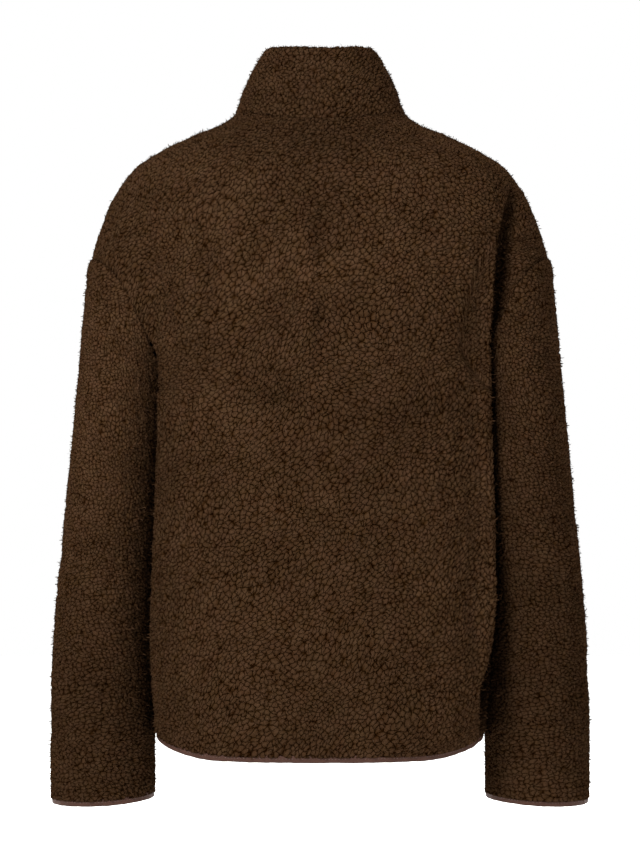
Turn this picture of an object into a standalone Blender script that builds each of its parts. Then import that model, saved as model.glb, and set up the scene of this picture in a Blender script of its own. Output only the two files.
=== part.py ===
"""Teddy jacket in thick pile fleece, zipped up to the collar and filled out as if worn.

Metres. +Z is up, +Y is the front of the jacket and +X the wearer's right.
The origin is the middle of the neck opening, where the wearer's neck and shoulders hold it.
The body follows two lobes, the torso and the upper arm, each given by level sections.
"""

import math

import bpy
import numpy as np

# Cloth and seams
FLEECE = 0.006            # pile and backing together
COLLAR_WALL = 0.009       # two layers of fleece
SEAM_HALF_GAP = 0.0002    # each side of a seam between two panels
SEAM_GAP = 0.0008         # between the armhole edge and the top of the sleeve
ARM_CLEARANCE = 0.0024    # between the sleeve and the side of the body below the armpit
CLOTH_BEND = 0.0065       # how far the cloth rounds off a crease
RIM_TURN = (-0.35, 0.3)    # where the armhole edge turns from facing the torso to facing the arm

# Neck seam and collar
NECK_HALF_WIDTH = 0.086
NECK_HALF_DEPTH = 0.0815
NECK_CENTRE_Y = 0.0035
NECK_DIP_FRONT = 0.038
NECK_DIP_BACK = 0.008
COLLAR_HEIGHT_BACK = 0.0730
COLLAR_HEIGHT_SIDE = 0.0645
COLLAR_HEIGHT_FRONT = 0.0710
COLLAR_LEAN = 0.012       # the top ring sits this far forward of the neck seam

# Armhole: a loop round the upper arm, level at the shoulder point and deepest at the armpit
SHOULDER_POINT = -0.142
ARMHOLE_DEPTH = 0.135
ARMHOLE_BEND = 1.6        # 1 would be a flat loop; more keeps the outer part level for longer
ARMPIT = SHOULDER_POINT - ARMHOLE_DEPTH
SLEEVE_CAP_STEP = 0.0016  # the sleeve's seam allowance lifts its top edge

# Hem, cuffs and their elastic binding
HEM = -0.627
HEM_SIDE_RISE = 0.014
CUFF = -0.681
CUFF_INNER_RISE = 0.0055
BINDING_HEIGHT = 0.0062
BINDING_THICKNESS = 0.0042
BINDING_INSET = 0.0009    # the pile stands this far outside the binding
BINDING_GAP = 0.0003

# Zip
ZIP_HALF_SLOT = 0.006     # from the centre line to each front edge
TAPE_EDGE_GAP = 0.0003
TAPE_OUTER = ZIP_HALF_SLOT - TAPE_EDGE_GAP
TAPE_INNER = 0.0004
CHAIN_HALF_WIDTH = 0.0026
TAPE_BACK_DEPTH = 0.0052
TAPE_FACE_DEPTH = 0.0042
CHAIN_FACE_DEPTH = 0.0028
ZIP_PARTING = 0.0007      # how far the slider's wedge spreads each rib
ZIP_TOP_STATIONS = (0.0160, 0.0105, 0.0090, 0.0077, 0.0064, 0.0050, 0.0025, 0.0)
SLIDER_BELOW_TOP = 0.0075
PULL_AXIS_DEPTH = 0.0006  # of the pull's bar, outward from the zip's line
PULL_AXIS_RISE = 0.0004   # above the slider's middle
MM = 0.001

ZIP_TURN = math.asin(ZIP_HALF_SLOT / NECK_HALF_WIDTH)

# Level sections of the torso lobe, top to bottom
TORSO_COLUMNS = ("height", "half_width", "back_y", "front_y", "side_y", "squareness")
TORSO = (
    (0.000, 0.0860, -0.078, 0.085, 0.0035, 2.00),
    (-0.007, 0.0965, -0.082, 0.086, 0.0035, 2.00),
    (-0.012, 0.1105, -0.085, 0.087, 0.0035, 2.00),
    (-0.022, 0.1335, -0.091, 0.089, 0.0035, 2.00),
    (-0.032, 0.1545, -0.096, 0.091, 0.0035, 2.00),
    (-0.042, 0.1725, -0.101, 0.094, 0.0040, 2.00),
    (-0.052, 0.1860, -0.105, 0.098, 0.0040, 2.00),
    (-0.062, 0.1945, -0.109, 0.101, 0.0040, 2.05),
    (-0.072, 0.1985, -0.112, 0.105, 0.0040, 2.10),
    (-0.085, 0.2000, -0.114, 0.108, 0.0040, 2.15),
    (-0.110, 0.1960, -0.118, 0.115, 0.0040, 2.30),
    (-0.140, 0.1890, -0.121, 0.122, 0.0050, 2.45),
    (-0.180, 0.1790, -0.122, 0.130, 0.0050, 2.60),
    (-0.250, 0.1700, -0.120, 0.134, 0.0060, 2.70),
    (-0.350, 0.1685, -0.115, 0.130, 0.0080, 2.70),
    (-0.450, 0.1700, -0.113, 0.124, 0.0100, 2.70),
    (-0.540, 0.1700, -0.115, 0.120, 0.0120, 2.70),
    (-0.590, 0.1660, -0.114, 0.117, 0.0130, 2.60),
    (-0.615, 0.1600, -0.111, 0.113, 0.0130, 2.50),
    (-0.640, 0.1490, -0.105, 0.107, 0.0130, 2.40),
)

# Level sections of the arm lobe on the +X side
ARM_COLUMNS = ("height", "centre_x", "half_width", "centre_y", "half_depth")
ARM = (
    (0.000, 0.040, 0.030, 0.0035, 0.030),
    (-0.030, 0.090, 0.040, 0.0040, 0.040),
    (-0.050, 0.120, 0.055, 0.0040, 0.050),
    (-0.072, 0.1415, 0.060, 0.0040, 0.056),
    (-0.092, 0.1540, 0.0575, 0.0040, 0.060),
    (-0.112, 0.1635, 0.0560, 0.0040, 0.063),
    (-0.142, 0.1730, 0.0550, 0.0050, 0.067),
    (-0.182, 0.1835, 0.0510, 0.0050, 0.070),
    (-0.250, 0.1930, 0.0480, 0.0060, 0.071),
    (-0.330, 0.2010, 0.0480, 0.0090, 0.069),
    (-0.430, 0.2100, 0.0495, 0.0140, 0.064),
    (-0.530, 0.2175, 0.0510, 0.0200, 0.058),
    (-0.630, 0.2190, 0.0525, 0.0260, 0.053),
    (-0.700, 0.2188, 0.0525, 0.0290, 0.049),
)

# Collar outline from the seam to the top: share of the height, half width
COLLAR_COLUMNS = ("share", "half_width")
COLLAR = (
    (0.00, 0.0860),
    (0.11, 0.0825),
    (0.25, 0.0798),
    (0.39, 0.0770),
    (0.53, 0.0730),
    (0.67, 0.0685),
    (0.81, 0.0640),
    (0.92, 0.0608),
    (1.00, 0.0590),
)
# The collar's rows: share of its height, how far the rounded top edge draws each one in
COLLAR_ROWS = (
    (0.006, 0.0),
    (0.16, 0.0),
    (0.34, 0.0),
    (0.52, 0.0),
    (0.70, 0.0),
    (0.84, 0.0002),
    (0.94, 0.0012),
    (1.00, 0.0034),
)
ZIP_ROWS_ON_COLLAR = 7    # the zip runs up to this row

# Soft folds: place, lean from the vertical, half length, half width, how far out (+) or in (-)
FOLD_COLUMNS = ("run", "z", "lean_deg", "half_length", "half_width", "lift")
BACK_FOLDS = (
    (0.000, -0.128, 2, 0.030, 0.010, -0.0045),
    (0.001, -0.205, -2, 0.030, 0.012, -0.0040),
    (-0.112, -0.168, 4, 0.045, 0.012, -0.0045),
    (-0.086, -0.150, -8, 0.040, 0.014, 0.0020),
    (0.070, -0.160, 85, 0.060, 0.020, 0.0030),
    (-0.060, -0.178, 88, 0.050, 0.018, 0.0030),
    (-0.045, -0.282, 80, 0.040, 0.014, -0.0035),
    (0.105, -0.292, 94, 0.050, 0.014, -0.0035),
    (-0.105, -0.368, 84, 0.040, 0.016, -0.0030),
    (0.060, -0.372, 100, 0.045, 0.018, -0.0025),
    (-0.050, -0.470, 86, 0.045, 0.016, -0.0030),
    (0.060, -0.478, 96, 0.030, 0.014, -0.0030),
    (-0.120, -0.490, 20, 0.050, 0.020, 0.0030),
    (0.130, -0.500, -14, 0.060, 0.018, 0.0030),
    (0.000, -0.040, 90, 0.070, 0.022, -0.0035),
    (0.190, -0.400, 1, 0.150, 0.016, 0.0025),
    (0.188, -0.510, 2, 0.070, 0.016, 0.0040),
)
FRONT_FOLDS = (
    (0.105, -0.200, -24, 0.060, 0.016, -0.0040),
    (-0.108, -0.210, 22, 0.055, 0.017, -0.0035),
    (0.070, -0.330, 82, 0.045, 0.016, -0.0030),
    (-0.085, -0.350, 98, 0.050, 0.016, -0.0035),
    (-0.060, -0.470, 84, 0.045, 0.016, -0.0025),
    (0.080, -0.490, 94, 0.040, 0.018, -0.0030),
    (0.120, -0.430, 12, 0.080, 0.020, 0.0030),
    (-0.125, -0.440, -10, 0.070, 0.018, 0.0030),
)
# On a sleeve the place is an angle round it, 0 inside, 90 at the back, 180 outside
SLEEVE_FOLD_COLUMNS = ("angle_deg", "z", "tilt", "half_turn_deg", "half_width", "lift")
SLEEVE_FOLDS = {
    "right": (
        (110, -0.215, 0.30, 45, 0.013, -0.0030),
        (85, -0.330, -0.20, 50, 0.014, -0.0035),
        (130, -0.405, 0.25, 40, 0.014, -0.0030),
        (75, -0.480, -0.30, 45, 0.016, -0.0030),
        (140, -0.560, 0.20, 50, 0.016, -0.0025),
        (265, -0.300, 0.25, 50, 0.014, -0.0040),
        (280, -0.390, -0.20, 55, 0.015, -0.0040),
        (255, -0.520, 0.20, 45, 0.016, -0.0030),
    ),
    "left": (
        (100, -0.235, -0.25, 45, 0.014, -0.0030),
        (80, -0.352, 0.35, 55, 0.015, -0.0040),
        (135, -0.430, -0.20, 45, 0.015, -0.0025),
        (90, -0.505, 0.25, 45, 0.016, -0.0030),
        (125, -0.600, -0.20, 50, 0.016, -0.0025),
        (270, -0.280, -0.25, 50, 0.014, -0.0040),
        (258, -0.375, 0.20, 55, 0.015, -0.0040),
        (285, -0.545, -0.20, 45, 0.016, -0.0030),
    ),
}

# How finely each piece is divided
ROWS_BELOW_ARMPIT = 10
ROWS_ALONG_ARMHOLE = 10
ARMHOLE_TOP_ROW = -0.095  # the row that starts at the shoulder point climbs to this height
SHOULDER_ROW_HEIGHTS = (-0.122, -0.102, -0.084, -0.068, -0.054, -0.040, -0.024, -0.009, 0.0)
HALF_COLUMNS = 16
CLOSER_AT_SEAM = 0.10     # moves a panel's columns towards its outer edge
SLEEVE_RINGS = 17
COLLAR_COLUMNS_COUNT = 40
SECTION_SAMPLES = 160
OUTLINE_STEP = 0.002
OUTLINE_STEPS = 180

COLOURS = {
    "fleece": ((0.050, 0.027, 0.014), 0.95, 0.0),
    "binding": ((0.075, 0.032, 0.022), 0.75, 0.0),
    "zip_tape": ((0.045, 0.024, 0.014), 0.80, 0.0),
    "zip_metal": ((0.090, 0.055, 0.035), 0.35, 1.0),
}


def smooth_column(table, names, name, at):
    """A table's column at any height, by cubic pieces with the slope of the neighbouring rows."""
    rows = np.array(sorted(table))
    knots, values = rows[:, 0], rows[:, names.index(name)]
    slopes = np.gradient(values, knots)
    at = np.clip(at, knots[0], knots[-1])
    i = np.clip(np.searchsorted(knots, at, side="right") - 1, 0, len(knots) - 2)
    step = knots[i + 1] - knots[i]
    t = (at - knots[i]) / step
    start = (2 * t**3 - 3 * t**2 + 1) * values[i] + (t**3 - 2 * t**2 + t) * step * slopes[i]
    end = (-2 * t**3 + 3 * t**2) * values[i + 1] + (t**3 - t**2) * step * slopes[i + 1]
    return start + end


def torso(name, z):
    return smooth_column(TORSO, TORSO_COLUMNS, name, z)


def arm(name, z):
    return smooth_column(ARM, ARM_COLUMNS, name, z)


def armhole_height(angle):
    """Height of the armhole seam at an angle round the arm: 0 at the armpit, pi at the shoulder."""
    return SHOULDER_POINT - ARMHOLE_DEPTH * ((1 + np.cos(angle)) / 2) ** ARMHOLE_BEND


def armhole_angle(z):
    """The same loop the other way round: the angle at which the seam is at height z."""
    share = np.clip((SHOULDER_POINT - z) / ARMHOLE_DEPTH, 0, 1) ** (1 / ARMHOLE_BEND)
    return np.arccos(2 * share - 1)


def armhole_angles():
    """Angles that divide the armhole seam, from armpit to shoulder point, into equal lengths."""
    angle = np.linspace(0, math.pi, 721)
    z = armhole_height(angle)
    across = arm("centre_x", z) - arm("half_width", z) * np.cos(angle)
    deep = arm("half_depth", z) * np.sin(angle)
    steps = np.sqrt(np.diff(across) ** 2 + np.diff(deep) ** 2 + np.diff(z) ** 2)
    run = np.concatenate([[0.0], np.cumsum(steps)])
    return np.interp(np.linspace(0, run[-1], ROWS_ALONG_ARMHOLE + 1), run, angle)


def soft_minimum(a, b, width):
    """The smaller of two values, with the corner between them rounded over width."""
    h = np.clip(0.5 + 0.5 * (b - a) / width, 0, 1)
    return b + (a - b) * h - width * h * (1 - h)


def emerging_angle(z, face):
    """Angle round the arm, from its inner side, where the arm comes out of the torso."""
    angles = np.linspace(0, math.pi, 181)[None, :]
    level = z[:, None]
    x = arm("centre_x", level) - arm("half_width", level) * np.cos(angles)
    y = face * arm("half_depth", level) * np.sin(angles)
    depth = face * (torso("front_y" if face > 0 else "back_y", level) - torso("side_y", level))
    power = torso("squareness", level)
    outside = (np.abs(x) / torso("half_width", level)) ** power + (np.abs(y) / depth) ** power >= 1
    first = np.argmax(outside, axis=1)
    return np.where(outside.any(axis=1), angles[0, first], math.pi)


def half_sections(face, z):
    """Outline of half the body at each height z, at even steps from the centre line outwards.

    face is -1 for the back and +1 for the front. The outline is an arc of the torso's
    superellipse, dented where the arm hangs beside it, and then an arc of the arm's ellipse.
    Also returns how far along it the side, armhole or shoulder seam lies.
    """
    seam_angle = np.where(z <= ARMPIT, 0.0, armhole_angle(z))
    emerging = emerging_angle(z, face)
    crease_angle = np.minimum(emerging, seam_angle)
    last_angle = np.where(seam_angle > emerging, math.pi, crease_angle)
    side_y = torso("side_y", z)
    depth = face * (torso("front_y" if face > 0 else "back_y", z) - side_y)
    power = torso("squareness", z)
    arm_y = arm("centre_y", z) - side_y
    crease_y = np.abs(arm_y + face * arm("half_depth", z) * np.sin(crease_angle)) * (z > ARMPIT)
    last = np.arccos(np.clip(crease_y / depth, 0, 1) ** (power / 2))
    turn = np.linspace(0, 1, SECTION_SAMPLES)[None, :] * last[:, None]
    power = power[:, None]
    torso_x = torso("half_width", z)[:, None] * np.sin(turn) ** (2 / power)
    torso_y = face * depth[:, None] * np.cos(turn) ** (2 / power)
    from_seam = np.hypot(np.abs(torso_y) - crease_y[:, None], np.maximum(ARMPIT - z, 0)[:, None])
    clearance = SEAM_GAP + ARM_CLEARANCE * soft_step(from_seam, 0.0, 0.022)
    across = (torso_y - arm_y[:, None]) / (arm("half_depth", z)[:, None] + clearance)
    reach = arm("half_width", z)[:, None] + clearance
    arm_side = arm("centre_x", z)[:, None] - reach * np.sqrt(np.clip(1 - across**2, 0, 1))
    beside = (np.abs(across) < 1) & (crease_angle < math.pi / 2)[:, None]
    dented = soft_minimum(torso_x, np.where(beside, arm_side, 1.0), CLOTH_BEND)
    torso_x += (dented - torso_x) * soft_step(emerging - seam_angle, -0.35, 0.0)[:, None]
    share = np.linspace(0, 1, SECTION_SAMPLES)[None, 1:]
    round_arm = crease_angle[:, None] + (last_angle - crease_angle)[:, None] * share
    arm_x = arm("centre_x", z)[:, None] - arm("half_width", z)[:, None] * np.cos(round_arm)
    arm_out = arm_y[:, None] + face * arm("half_depth", z)[:, None] * np.sin(round_arm)
    on_arm = (last_angle > crease_angle)[:, None]
    x = np.concatenate([torso_x, np.where(on_arm, arm_x, torso_x[:, -1:])], axis=1)
    y = np.concatenate([torso_y, np.where(on_arm, arm_out, torso_y[:, -1:])], axis=1)
    y += side_y[:, None]
    steps = np.hypot(np.diff(x, axis=1), np.diff(y, axis=1))
    run = np.concatenate([np.zeros((len(x), 1)), np.cumsum(steps, axis=1)], axis=1)
    past_crease = (seam_angle - crease_angle) / np.maximum(last_angle - crease_angle, 1e-9)
    seam_place = (SECTION_SAMPLES - 1) * (1 + np.clip(past_crease, 0, 1))
    seam_run = np.array([np.interp(at, np.arange(len(row)), row) for at, row in zip(seam_place, run)])
    return *even_and_soft(x, y, run), seam_run


def even_and_soft(x, y, run):
    """Each outline at even steps along itself, its creases rounded with a short bell curve.

    Past its end an outline goes on straight.
    """
    even = np.arange(OUTLINE_STEPS) * OUTLINE_STEP
    rows = []
    for row_x, row_y, row_run in zip(x, y, run):
        end = row_run[-1]
        before = end - 2 * OUTLINE_STEP
        both = []
        for values in (row_x, row_y):
            slope = (values[-1] - np.interp(before, row_run, values)) / (end - before)
            both.append(np.interp(even, row_run, values) + slope * np.maximum(even - end, 0))
        rows.append(both)
    reach = int(3 * CLOTH_BEND / OUTLINE_STEP)
    bell = np.exp(-0.5 * (np.arange(-reach, reach + 1) * OUTLINE_STEP / CLOTH_BEND) ** 2)
    bell /= bell.sum()
    x, y = (np.array([both[i] for both in rows]) for i in (0, 1))
    mirrored = slice(reach, 0, -1)
    x = np.concatenate([-x[:, mirrored], x], axis=1)
    y = np.concatenate([y[:, mirrored], y], axis=1)
    return np.stack([np.convolve(row, bell, "valid") for row in x]), np.stack(
        [np.convolve(row, bell, "valid") for row in y]
    )


def neck_ring(turn):
    """The neck seam, by angle from the front centre to the back centre on the +X side."""
    c = np.cos(turn)
    dip = (NECK_DIP_FRONT - NECK_DIP_BACK) / 2 * c + (NECK_DIP_FRONT + NECK_DIP_BACK) / 2 * c * c
    return np.stack(
        [NECK_HALF_WIDTH * np.sin(turn), NECK_CENTRE_Y + NECK_HALF_DEPTH * c, -dip], axis=-1
    )


def soft_step(value, low, high):
    t = np.clip((value - low) / (high - low), 0, 1)
    return t * t * (3 - 2 * t)


def row_heights():
    """Height of each row of a body panel, hem to neck: at its outer end, and at the centre."""
    below = np.linspace(HEM, ARMPIT, ROWS_BELOW_ARMPIT + 1)
    climb = np.linspace(ARMPIT, ARMHOLE_TOP_ROW, ROWS_ALONG_ARMHOLE + 1)
    outer = np.concatenate([below, armhole_height(armhole_angles())[1:], SHOULDER_ROW_HEIGHTS])
    return outer, np.concatenate([below, climb[1:], 0 * np.array(SHOULDER_ROW_HEIGHTS)])


def fold_lift(folds, run, z):
    """How far the folds push the cloth out: a sum of long bell-shaped troughs and ridges.

    run is the distance round the body from the centre line, positive on the wearer's right.
    """
    lift = np.zeros_like(run)
    for fold_run, fold_z, lean, half_length, half_width, height in folds:
        lean = math.radians(lean)
        along = (run - fold_run) * math.sin(lean) + (z - fold_z) * math.cos(lean)
        across = (run - fold_run) * math.cos(lean) - (z - fold_z) * math.sin(lean)
        lift += height * np.exp(-((along / half_length) ** 2) - (across / half_width) ** 2)
    return lift


def grid_normals(grid, wrap=False):
    """Unit normals of a grid of points: the cross product of its two directions."""
    if wrap:
        across = np.roll(grid, -1, axis=1) - np.roll(grid, 1, axis=1)
    else:
        across = np.gradient(grid, axis=1)
    up = np.gradient(grid, axis=0)
    normal = np.cross(across, up)
    return normal / np.linalg.norm(normal, axis=-1, keepdims=True)


def half_panel(face, side):
    """Outer points of half a body panel, and each point's distance from the centre line.

    Rows run from hem to neck and columns from the centre to the seam. The rows fan out to the
    points of the armhole, and the top rows bend down to the neck seam.
    """
    heights, middle = row_heights()
    share = np.linspace(0, 1, HALF_COLUMNS + 1)
    share += CLOSER_AT_SEAM * np.sin(math.pi * share)
    first = ZIP_TURN if face > 0 else math.pi
    ring = neck_ring(first + (math.pi / 2 - first) * share)
    climb = 1 - np.clip((share - 0.3) / 0.7, 0, 1) ** 2
    z = heights[:, None] + (middle - heights)[:, None] * climb
    top_row = SHOULDER_POINT + (ARMHOLE_TOP_ROW - SHOULDER_POINT) * climb
    rising = np.clip(1 - heights / SHOULDER_POINT, 0, 1)[:, None]
    z = np.where(rising > 1e-6, top_row * (1 - rising) + ring[:, 2] * rising, z)
    z += HEM_SIDE_RISE * soft_step(share, 0.45, 1.0) * np.exp((HEM - heights[:, None]) / 0.05)
    seam_run = half_sections(face, heights)[2][:, None]
    start = ZIP_HALF_SLOT if face > 0 else 0.0
    run = start + (seam_run - start) * share
    grid = section_points(face, heights, run, z)
    grid += soft_step(heights, -0.075, 0.0)[:, None, None] * (ring - grid[-1])
    straight = on_straight_seam(heights)
    grid[straight, -1, 1] = torso("side_y", z[straight, -1]) + face * SEAM_HALF_GAP
    angle = armhole_angle(heights[~straight])
    grid[~straight, -1] = arm_point(1, -face * angle, heights[~straight], 0.0)
    grid[..., 0] *= side
    return grid, side * run


def section_points(face, heights, run, z):
    """The body's surface at each distance along its outline and each height z."""
    levels = np.unique(np.concatenate([heights, np.linspace(HEM - 0.012, 0.0, 140)]))
    x, y, _ = half_sections(face, levels)
    below = np.clip(np.searchsorted(levels, z, side="right") - 1, 0, len(levels) - 2)
    rise = np.clip((z - levels[below]) / (levels[below + 1] - levels[below]), 0, 1)
    place = np.clip(run / OUTLINE_STEP, 0, x.shape[1] - 1.001)
    left = place.astype(int)
    step = place - left

    def blend(values, level):
        return values[level, left] * (1 - step) + values[level, left + 1] * step

    points = [blend(values, below) * (1 - rise) + blend(values, below + 1) * rise for values in (x, y)]
    return np.stack([*points, z], axis=-1)


def on_straight_seam(heights):
    """True for the rows whose outer end lies on the side or shoulder seam, not on the armhole."""
    return (heights <= ARMPIT + 1e-6) | (heights >= SHOULDER_POINT - 1e-6)


def arm_normal(angle, z, side):
    """Outward normal of the arm lobe at an angle round it."""
    normal = np.stack(
        [
            -side * np.cos(angle) / arm("half_width", z),
            -np.sin(angle) / arm("half_depth", z),
            np.zeros_like(z),
        ],
        axis=-1,
    )
    return normal / np.linalg.norm(normal, axis=-1, keepdims=True)


def with_wall(grid, run, folds, ends):
    """Adds the folds to a panel's outer points, and works out its inner points one fleece inwards.

    ends lists (column, face, side) for each outer edge, where the normal is made to match
    the neighbouring panel's so that the two walls meet edge to edge.
    """
    normal = grid_normals(grid)
    heights, _ = row_heights()
    edge = np.minimum(np.arange(grid.shape[1]), np.arange(grid.shape[1])[::-1]) / 3
    rows = np.minimum(np.arange(grid.shape[0])[::-1] / 2, 1)[:, None]
    hold = np.clip(edge, 0, 1)[None, :] * rows
    lift = fold_lift(folds, run, grid[..., 2]) * hold
    outer = grid + normal * lift[..., None]
    normal = grid_normals(outer)
    softer = normal.copy()
    softer[1:-1, 1:-1] += 0.5 * (normal[2:, 1:-1] + normal[:-2, 1:-1] + normal[1:-1, 2:] + normal[1:-1, :-2])
    normal = softer / np.linalg.norm(softer, axis=-1, keepdims=True)
    for column, face, side in ends:
        flat = on_straight_seam(heights)
        normal[flat, column, 1] = 0
        normal[np.isclose(heights, SHOULDER_POINT), column, 2] = 0
        angle = armhole_angle(heights)
        free = soft_step(angle - emerging_angle(heights, face), *RIM_TURN) * ~flat
        on_arm = arm_normal(-face * angle, heights, side)
        normal[:, column] += (on_arm - normal[:, column]) * free[:, None]
    normal /= np.linalg.norm(normal, axis=-1, keepdims=True)
    return outer, outer - FLEECE * normal


def back_panel():
    """Both halves of the back, left seam to right seam."""
    halves = zip(half_panel(-1, -1), half_panel(-1, 1))
    grid, run = (np.concatenate([left[:, ::-1], right[:, 1:]], axis=1) for left, right in halves)
    return with_wall(grid, run, BACK_FOLDS, [(0, -1, -1), (-1, -1, 1)])


def front_panel(side):
    """One front, zip edge to seam, ordered so that its outer face looks forwards."""
    grid, run = half_panel(1, side)
    if side > 0:
        grid, run = grid[:, ::-1], run[:, ::-1]
    zip_column, seam_column = (-1, 0) if side > 0 else (0, -1)
    outer, inner = with_wall(grid, run, FRONT_FOLDS, [(seam_column, 1, side)])
    for points in (outer, inner):
        points[:, zip_column, 0] = side * ZIP_HALF_SLOT
    return outer, inner


def arm_point(side, angle, z, inset):
    """A point of the arm lobe's ellipse at height z, this far inside its outer face."""
    half_width = arm("half_width", z) - inset
    half_depth = arm("half_depth", z) - inset
    x = arm("centre_x", z) - half_width * np.cos(angle)
    y = arm("centre_y", z) - half_depth * np.sin(angle)
    return np.stack([side * x, y, z], axis=-1)


def sleeve_lift(side, angle, z, from_seam):
    """How far the sleeve's folds and its raised top seam push the cloth out."""
    lift = SLEEVE_CAP_STEP * soft_step(-np.cos(angle), 0.1, 0.9) * np.exp(-from_seam / 0.03)
    for place, fold_z, tilt, half_turn, half_width, height in SLEEVE_FOLDS["right" if side > 0 else "left"]:
        turn = (np.degrees(angle) - place + 180) % 360 - 180
        across = z - fold_z - tilt * np.radians(turn) * 0.06
        fade = np.exp(-((turn / half_turn) ** 2) - (across / half_width) ** 2)
        lift += height * fade * soft_step(from_seam, 0.0, 0.03)
    return lift


def cuff_height(angle):
    """Height of the sleeve's lower edge: a little higher on the inner side."""
    return CUFF + CUFF_INNER_RISE * ((1 + np.cos(angle)) / 2) ** 2


def sleeve(side):
    """Outer and inner points of a sleeve: rings from the armhole to the cuff."""
    half = armhole_angles()
    angle = np.concatenate([half, 2 * math.pi - half[-2:0:-1]])[None, :]
    share = np.linspace(0, 1, SLEEVE_RINGS)[:, None] ** 1.15
    top = armhole_height(angle)
    across = np.hypot(arm("half_width", top) * np.sin(angle), arm("half_depth", top) * np.cos(angle))
    slope = (armhole_height(angle + 0.01) - armhole_height(angle - 0.01)) / 0.02 / across
    top = top - SEAM_GAP * np.hypot(1, slope)
    z = top + (cuff_height(angle) - top) * share
    from_seam = top - z
    inside = sleeve_lift(side, angle + 0 * z, z, from_seam)
    inside *= 1 - soft_step(share, 0.9, 1.0)
    outer = arm_point(side, angle, z, -inside)
    inner = arm_point(side, angle, z, FLEECE - inside)
    return outer, inner


def collar_point(turn, share, inset):
    """A point of the collar by angle from the front centre and share of its height."""
    base = neck_ring(turn)
    end = np.where(np.cos(turn) > 0, COLLAR_HEIGHT_FRONT, COLLAR_HEIGHT_BACK)
    height = COLLAR_HEIGHT_SIDE + (end - COLLAR_HEIGHT_SIDE) * np.cos(turn) ** 2
    half_width = smooth_column(COLLAR, COLLAR_COLUMNS, "half_width", share)
    scale = half_width / NECK_HALF_WIDTH
    centre = NECK_CENTRE_Y + COLLAR_LEAN * share
    across = np.sin(turn) * (NECK_HALF_WIDTH * scale - inset)
    depth = np.cos(turn) * (NECK_HALF_DEPTH * (0.35 + 0.65 * scale) - inset)
    return np.stack([across, centre + depth, base[..., 2] + height * share], axis=-1)


def collar():
    """Outer and inner points of the collar, from one zip edge round the back to the other."""
    turn = np.linspace(ZIP_TURN, 2 * math.pi - ZIP_TURN, COLLAR_COLUMNS_COUNT + 1)[None, :]
    share, drawn_in = (column[:, None] for column in np.array(COLLAR_ROWS).T)
    outer = collar_point(turn, share, drawn_in)
    inner = collar_point(turn, share, COLLAR_WALL - drawn_in)
    for points in (outer, inner):
        points[:, 0, 0] = ZIP_HALF_SLOT
        points[:, -1, 0] = -ZIP_HALF_SLOT
    return outer, inner


def halved(points, quads):
    """Each four-sided face as two triangles, cut along its shorter diagonal."""
    first = np.linalg.norm(points[quads[:, 0]] - points[quads[:, 2]], axis=1)
    second = np.linalg.norm(points[quads[:, 1]] - points[quads[:, 3]], axis=1)
    quads = np.where((second < first)[:, None], np.roll(quads, -1, axis=1), quads)
    return np.concatenate([quads[:, [0, 1, 2]], quads[:, [0, 2, 3]]])


def wall_mesh(outer, inner, wrap=False):
    """Points and triangles of a closed wall between an outer and an inner grid."""
    rows, columns = outer.shape[:2]
    count = rows * columns
    index = np.arange(count).reshape(rows, columns)
    if wrap:
        index = np.concatenate([index, index[:, :1]], axis=1)
    skin = np.stack([index[:-1, :-1], index[:-1, 1:], index[1:, 1:], index[1:, :-1]], axis=-1)
    skin = skin.reshape(-1, 4)
    borders = [index[0, ::-1], index[-1]]
    if not wrap:
        borders += [index[::-1, -1], index[:, 0]]
    rims = [
        np.stack([line[:-1], line[1:], line[1:] + count, line[:-1] + count], axis=-1)
        for line in borders
    ]
    points = np.concatenate([outer.reshape(-1, 3), inner.reshape(-1, 3)])
    skin = halved(points, skin)
    return points, np.concatenate([skin, skin[:, ::-1] + count, halved(points, np.concatenate(rims))])


def swept_mesh(path, inward, upward, profile, closed):
    """A profile of (inward, upward) points carried along a path, with flat ends where it is open."""
    rings = [path + inward * across + upward * rise for across, rise in profile]
    points = np.stack(rings, axis=1)
    stations, corners = points.shape[:2]
    index = np.arange(stations * corners).reshape(stations, corners)
    loop = np.concatenate([index, index[:, :1]], axis=1)
    if closed:
        loop = np.concatenate([loop, loop[:1]], axis=0)
    faces = np.stack([loop[:-1, :-1], loop[:-1, 1:], loop[1:, 1:], loop[1:, :-1]], axis=-1)
    faces = [tuple(face) for face in faces.reshape(-1, 4).tolist()]
    if not closed:
        faces += [tuple(index[0, ::-1].tolist()), tuple(index[-1].tolist())]
    return points.reshape(-1, 3), faces


def signed_volume(points, faces):
    """Six times the volume that the faces hold, by a fan of triangles in each face."""
    total = 0.0
    for face in faces:
        corners = points[list(face)]
        for second, third in zip(corners[1:-1], corners[2:]):
            total += float(np.dot(corners[0], np.cross(second, third)))
    return total


def material(name):
    colour, roughness, metallic = COLOURS[name]
    made = bpy.data.materials.get(name) or bpy.data.materials.new(name)
    made.use_nodes = True
    shader = made.node_tree.nodes["Principled BSDF"]
    shader.inputs["Base Color"].default_value = (*colour, 1.0)
    shader.inputs["Roughness"].default_value = roughness
    shader.inputs["Metallic"].default_value = metallic
    return made


def add_solid(name, points, faces, finish, smooth=True):
    """Makes the named object from points and faces, with its faces pointing out."""
    points = np.asarray(points, float)
    faces = [tuple(int(i) for i in face) for face in faces]
    if signed_volume(points, faces) < 0:
        faces = [face[::-1] for face in faces]
    mesh = bpy.data.meshes.new(name)
    mesh.from_pydata(points.tolist(), [], faces)
    mesh.materials.append(material(finish))
    if smooth:
        mesh.shade_smooth()
    solid = bpy.data.objects.new(name, mesh)
    bpy.context.scene.collection.objects.link(solid)
    return solid


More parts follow.
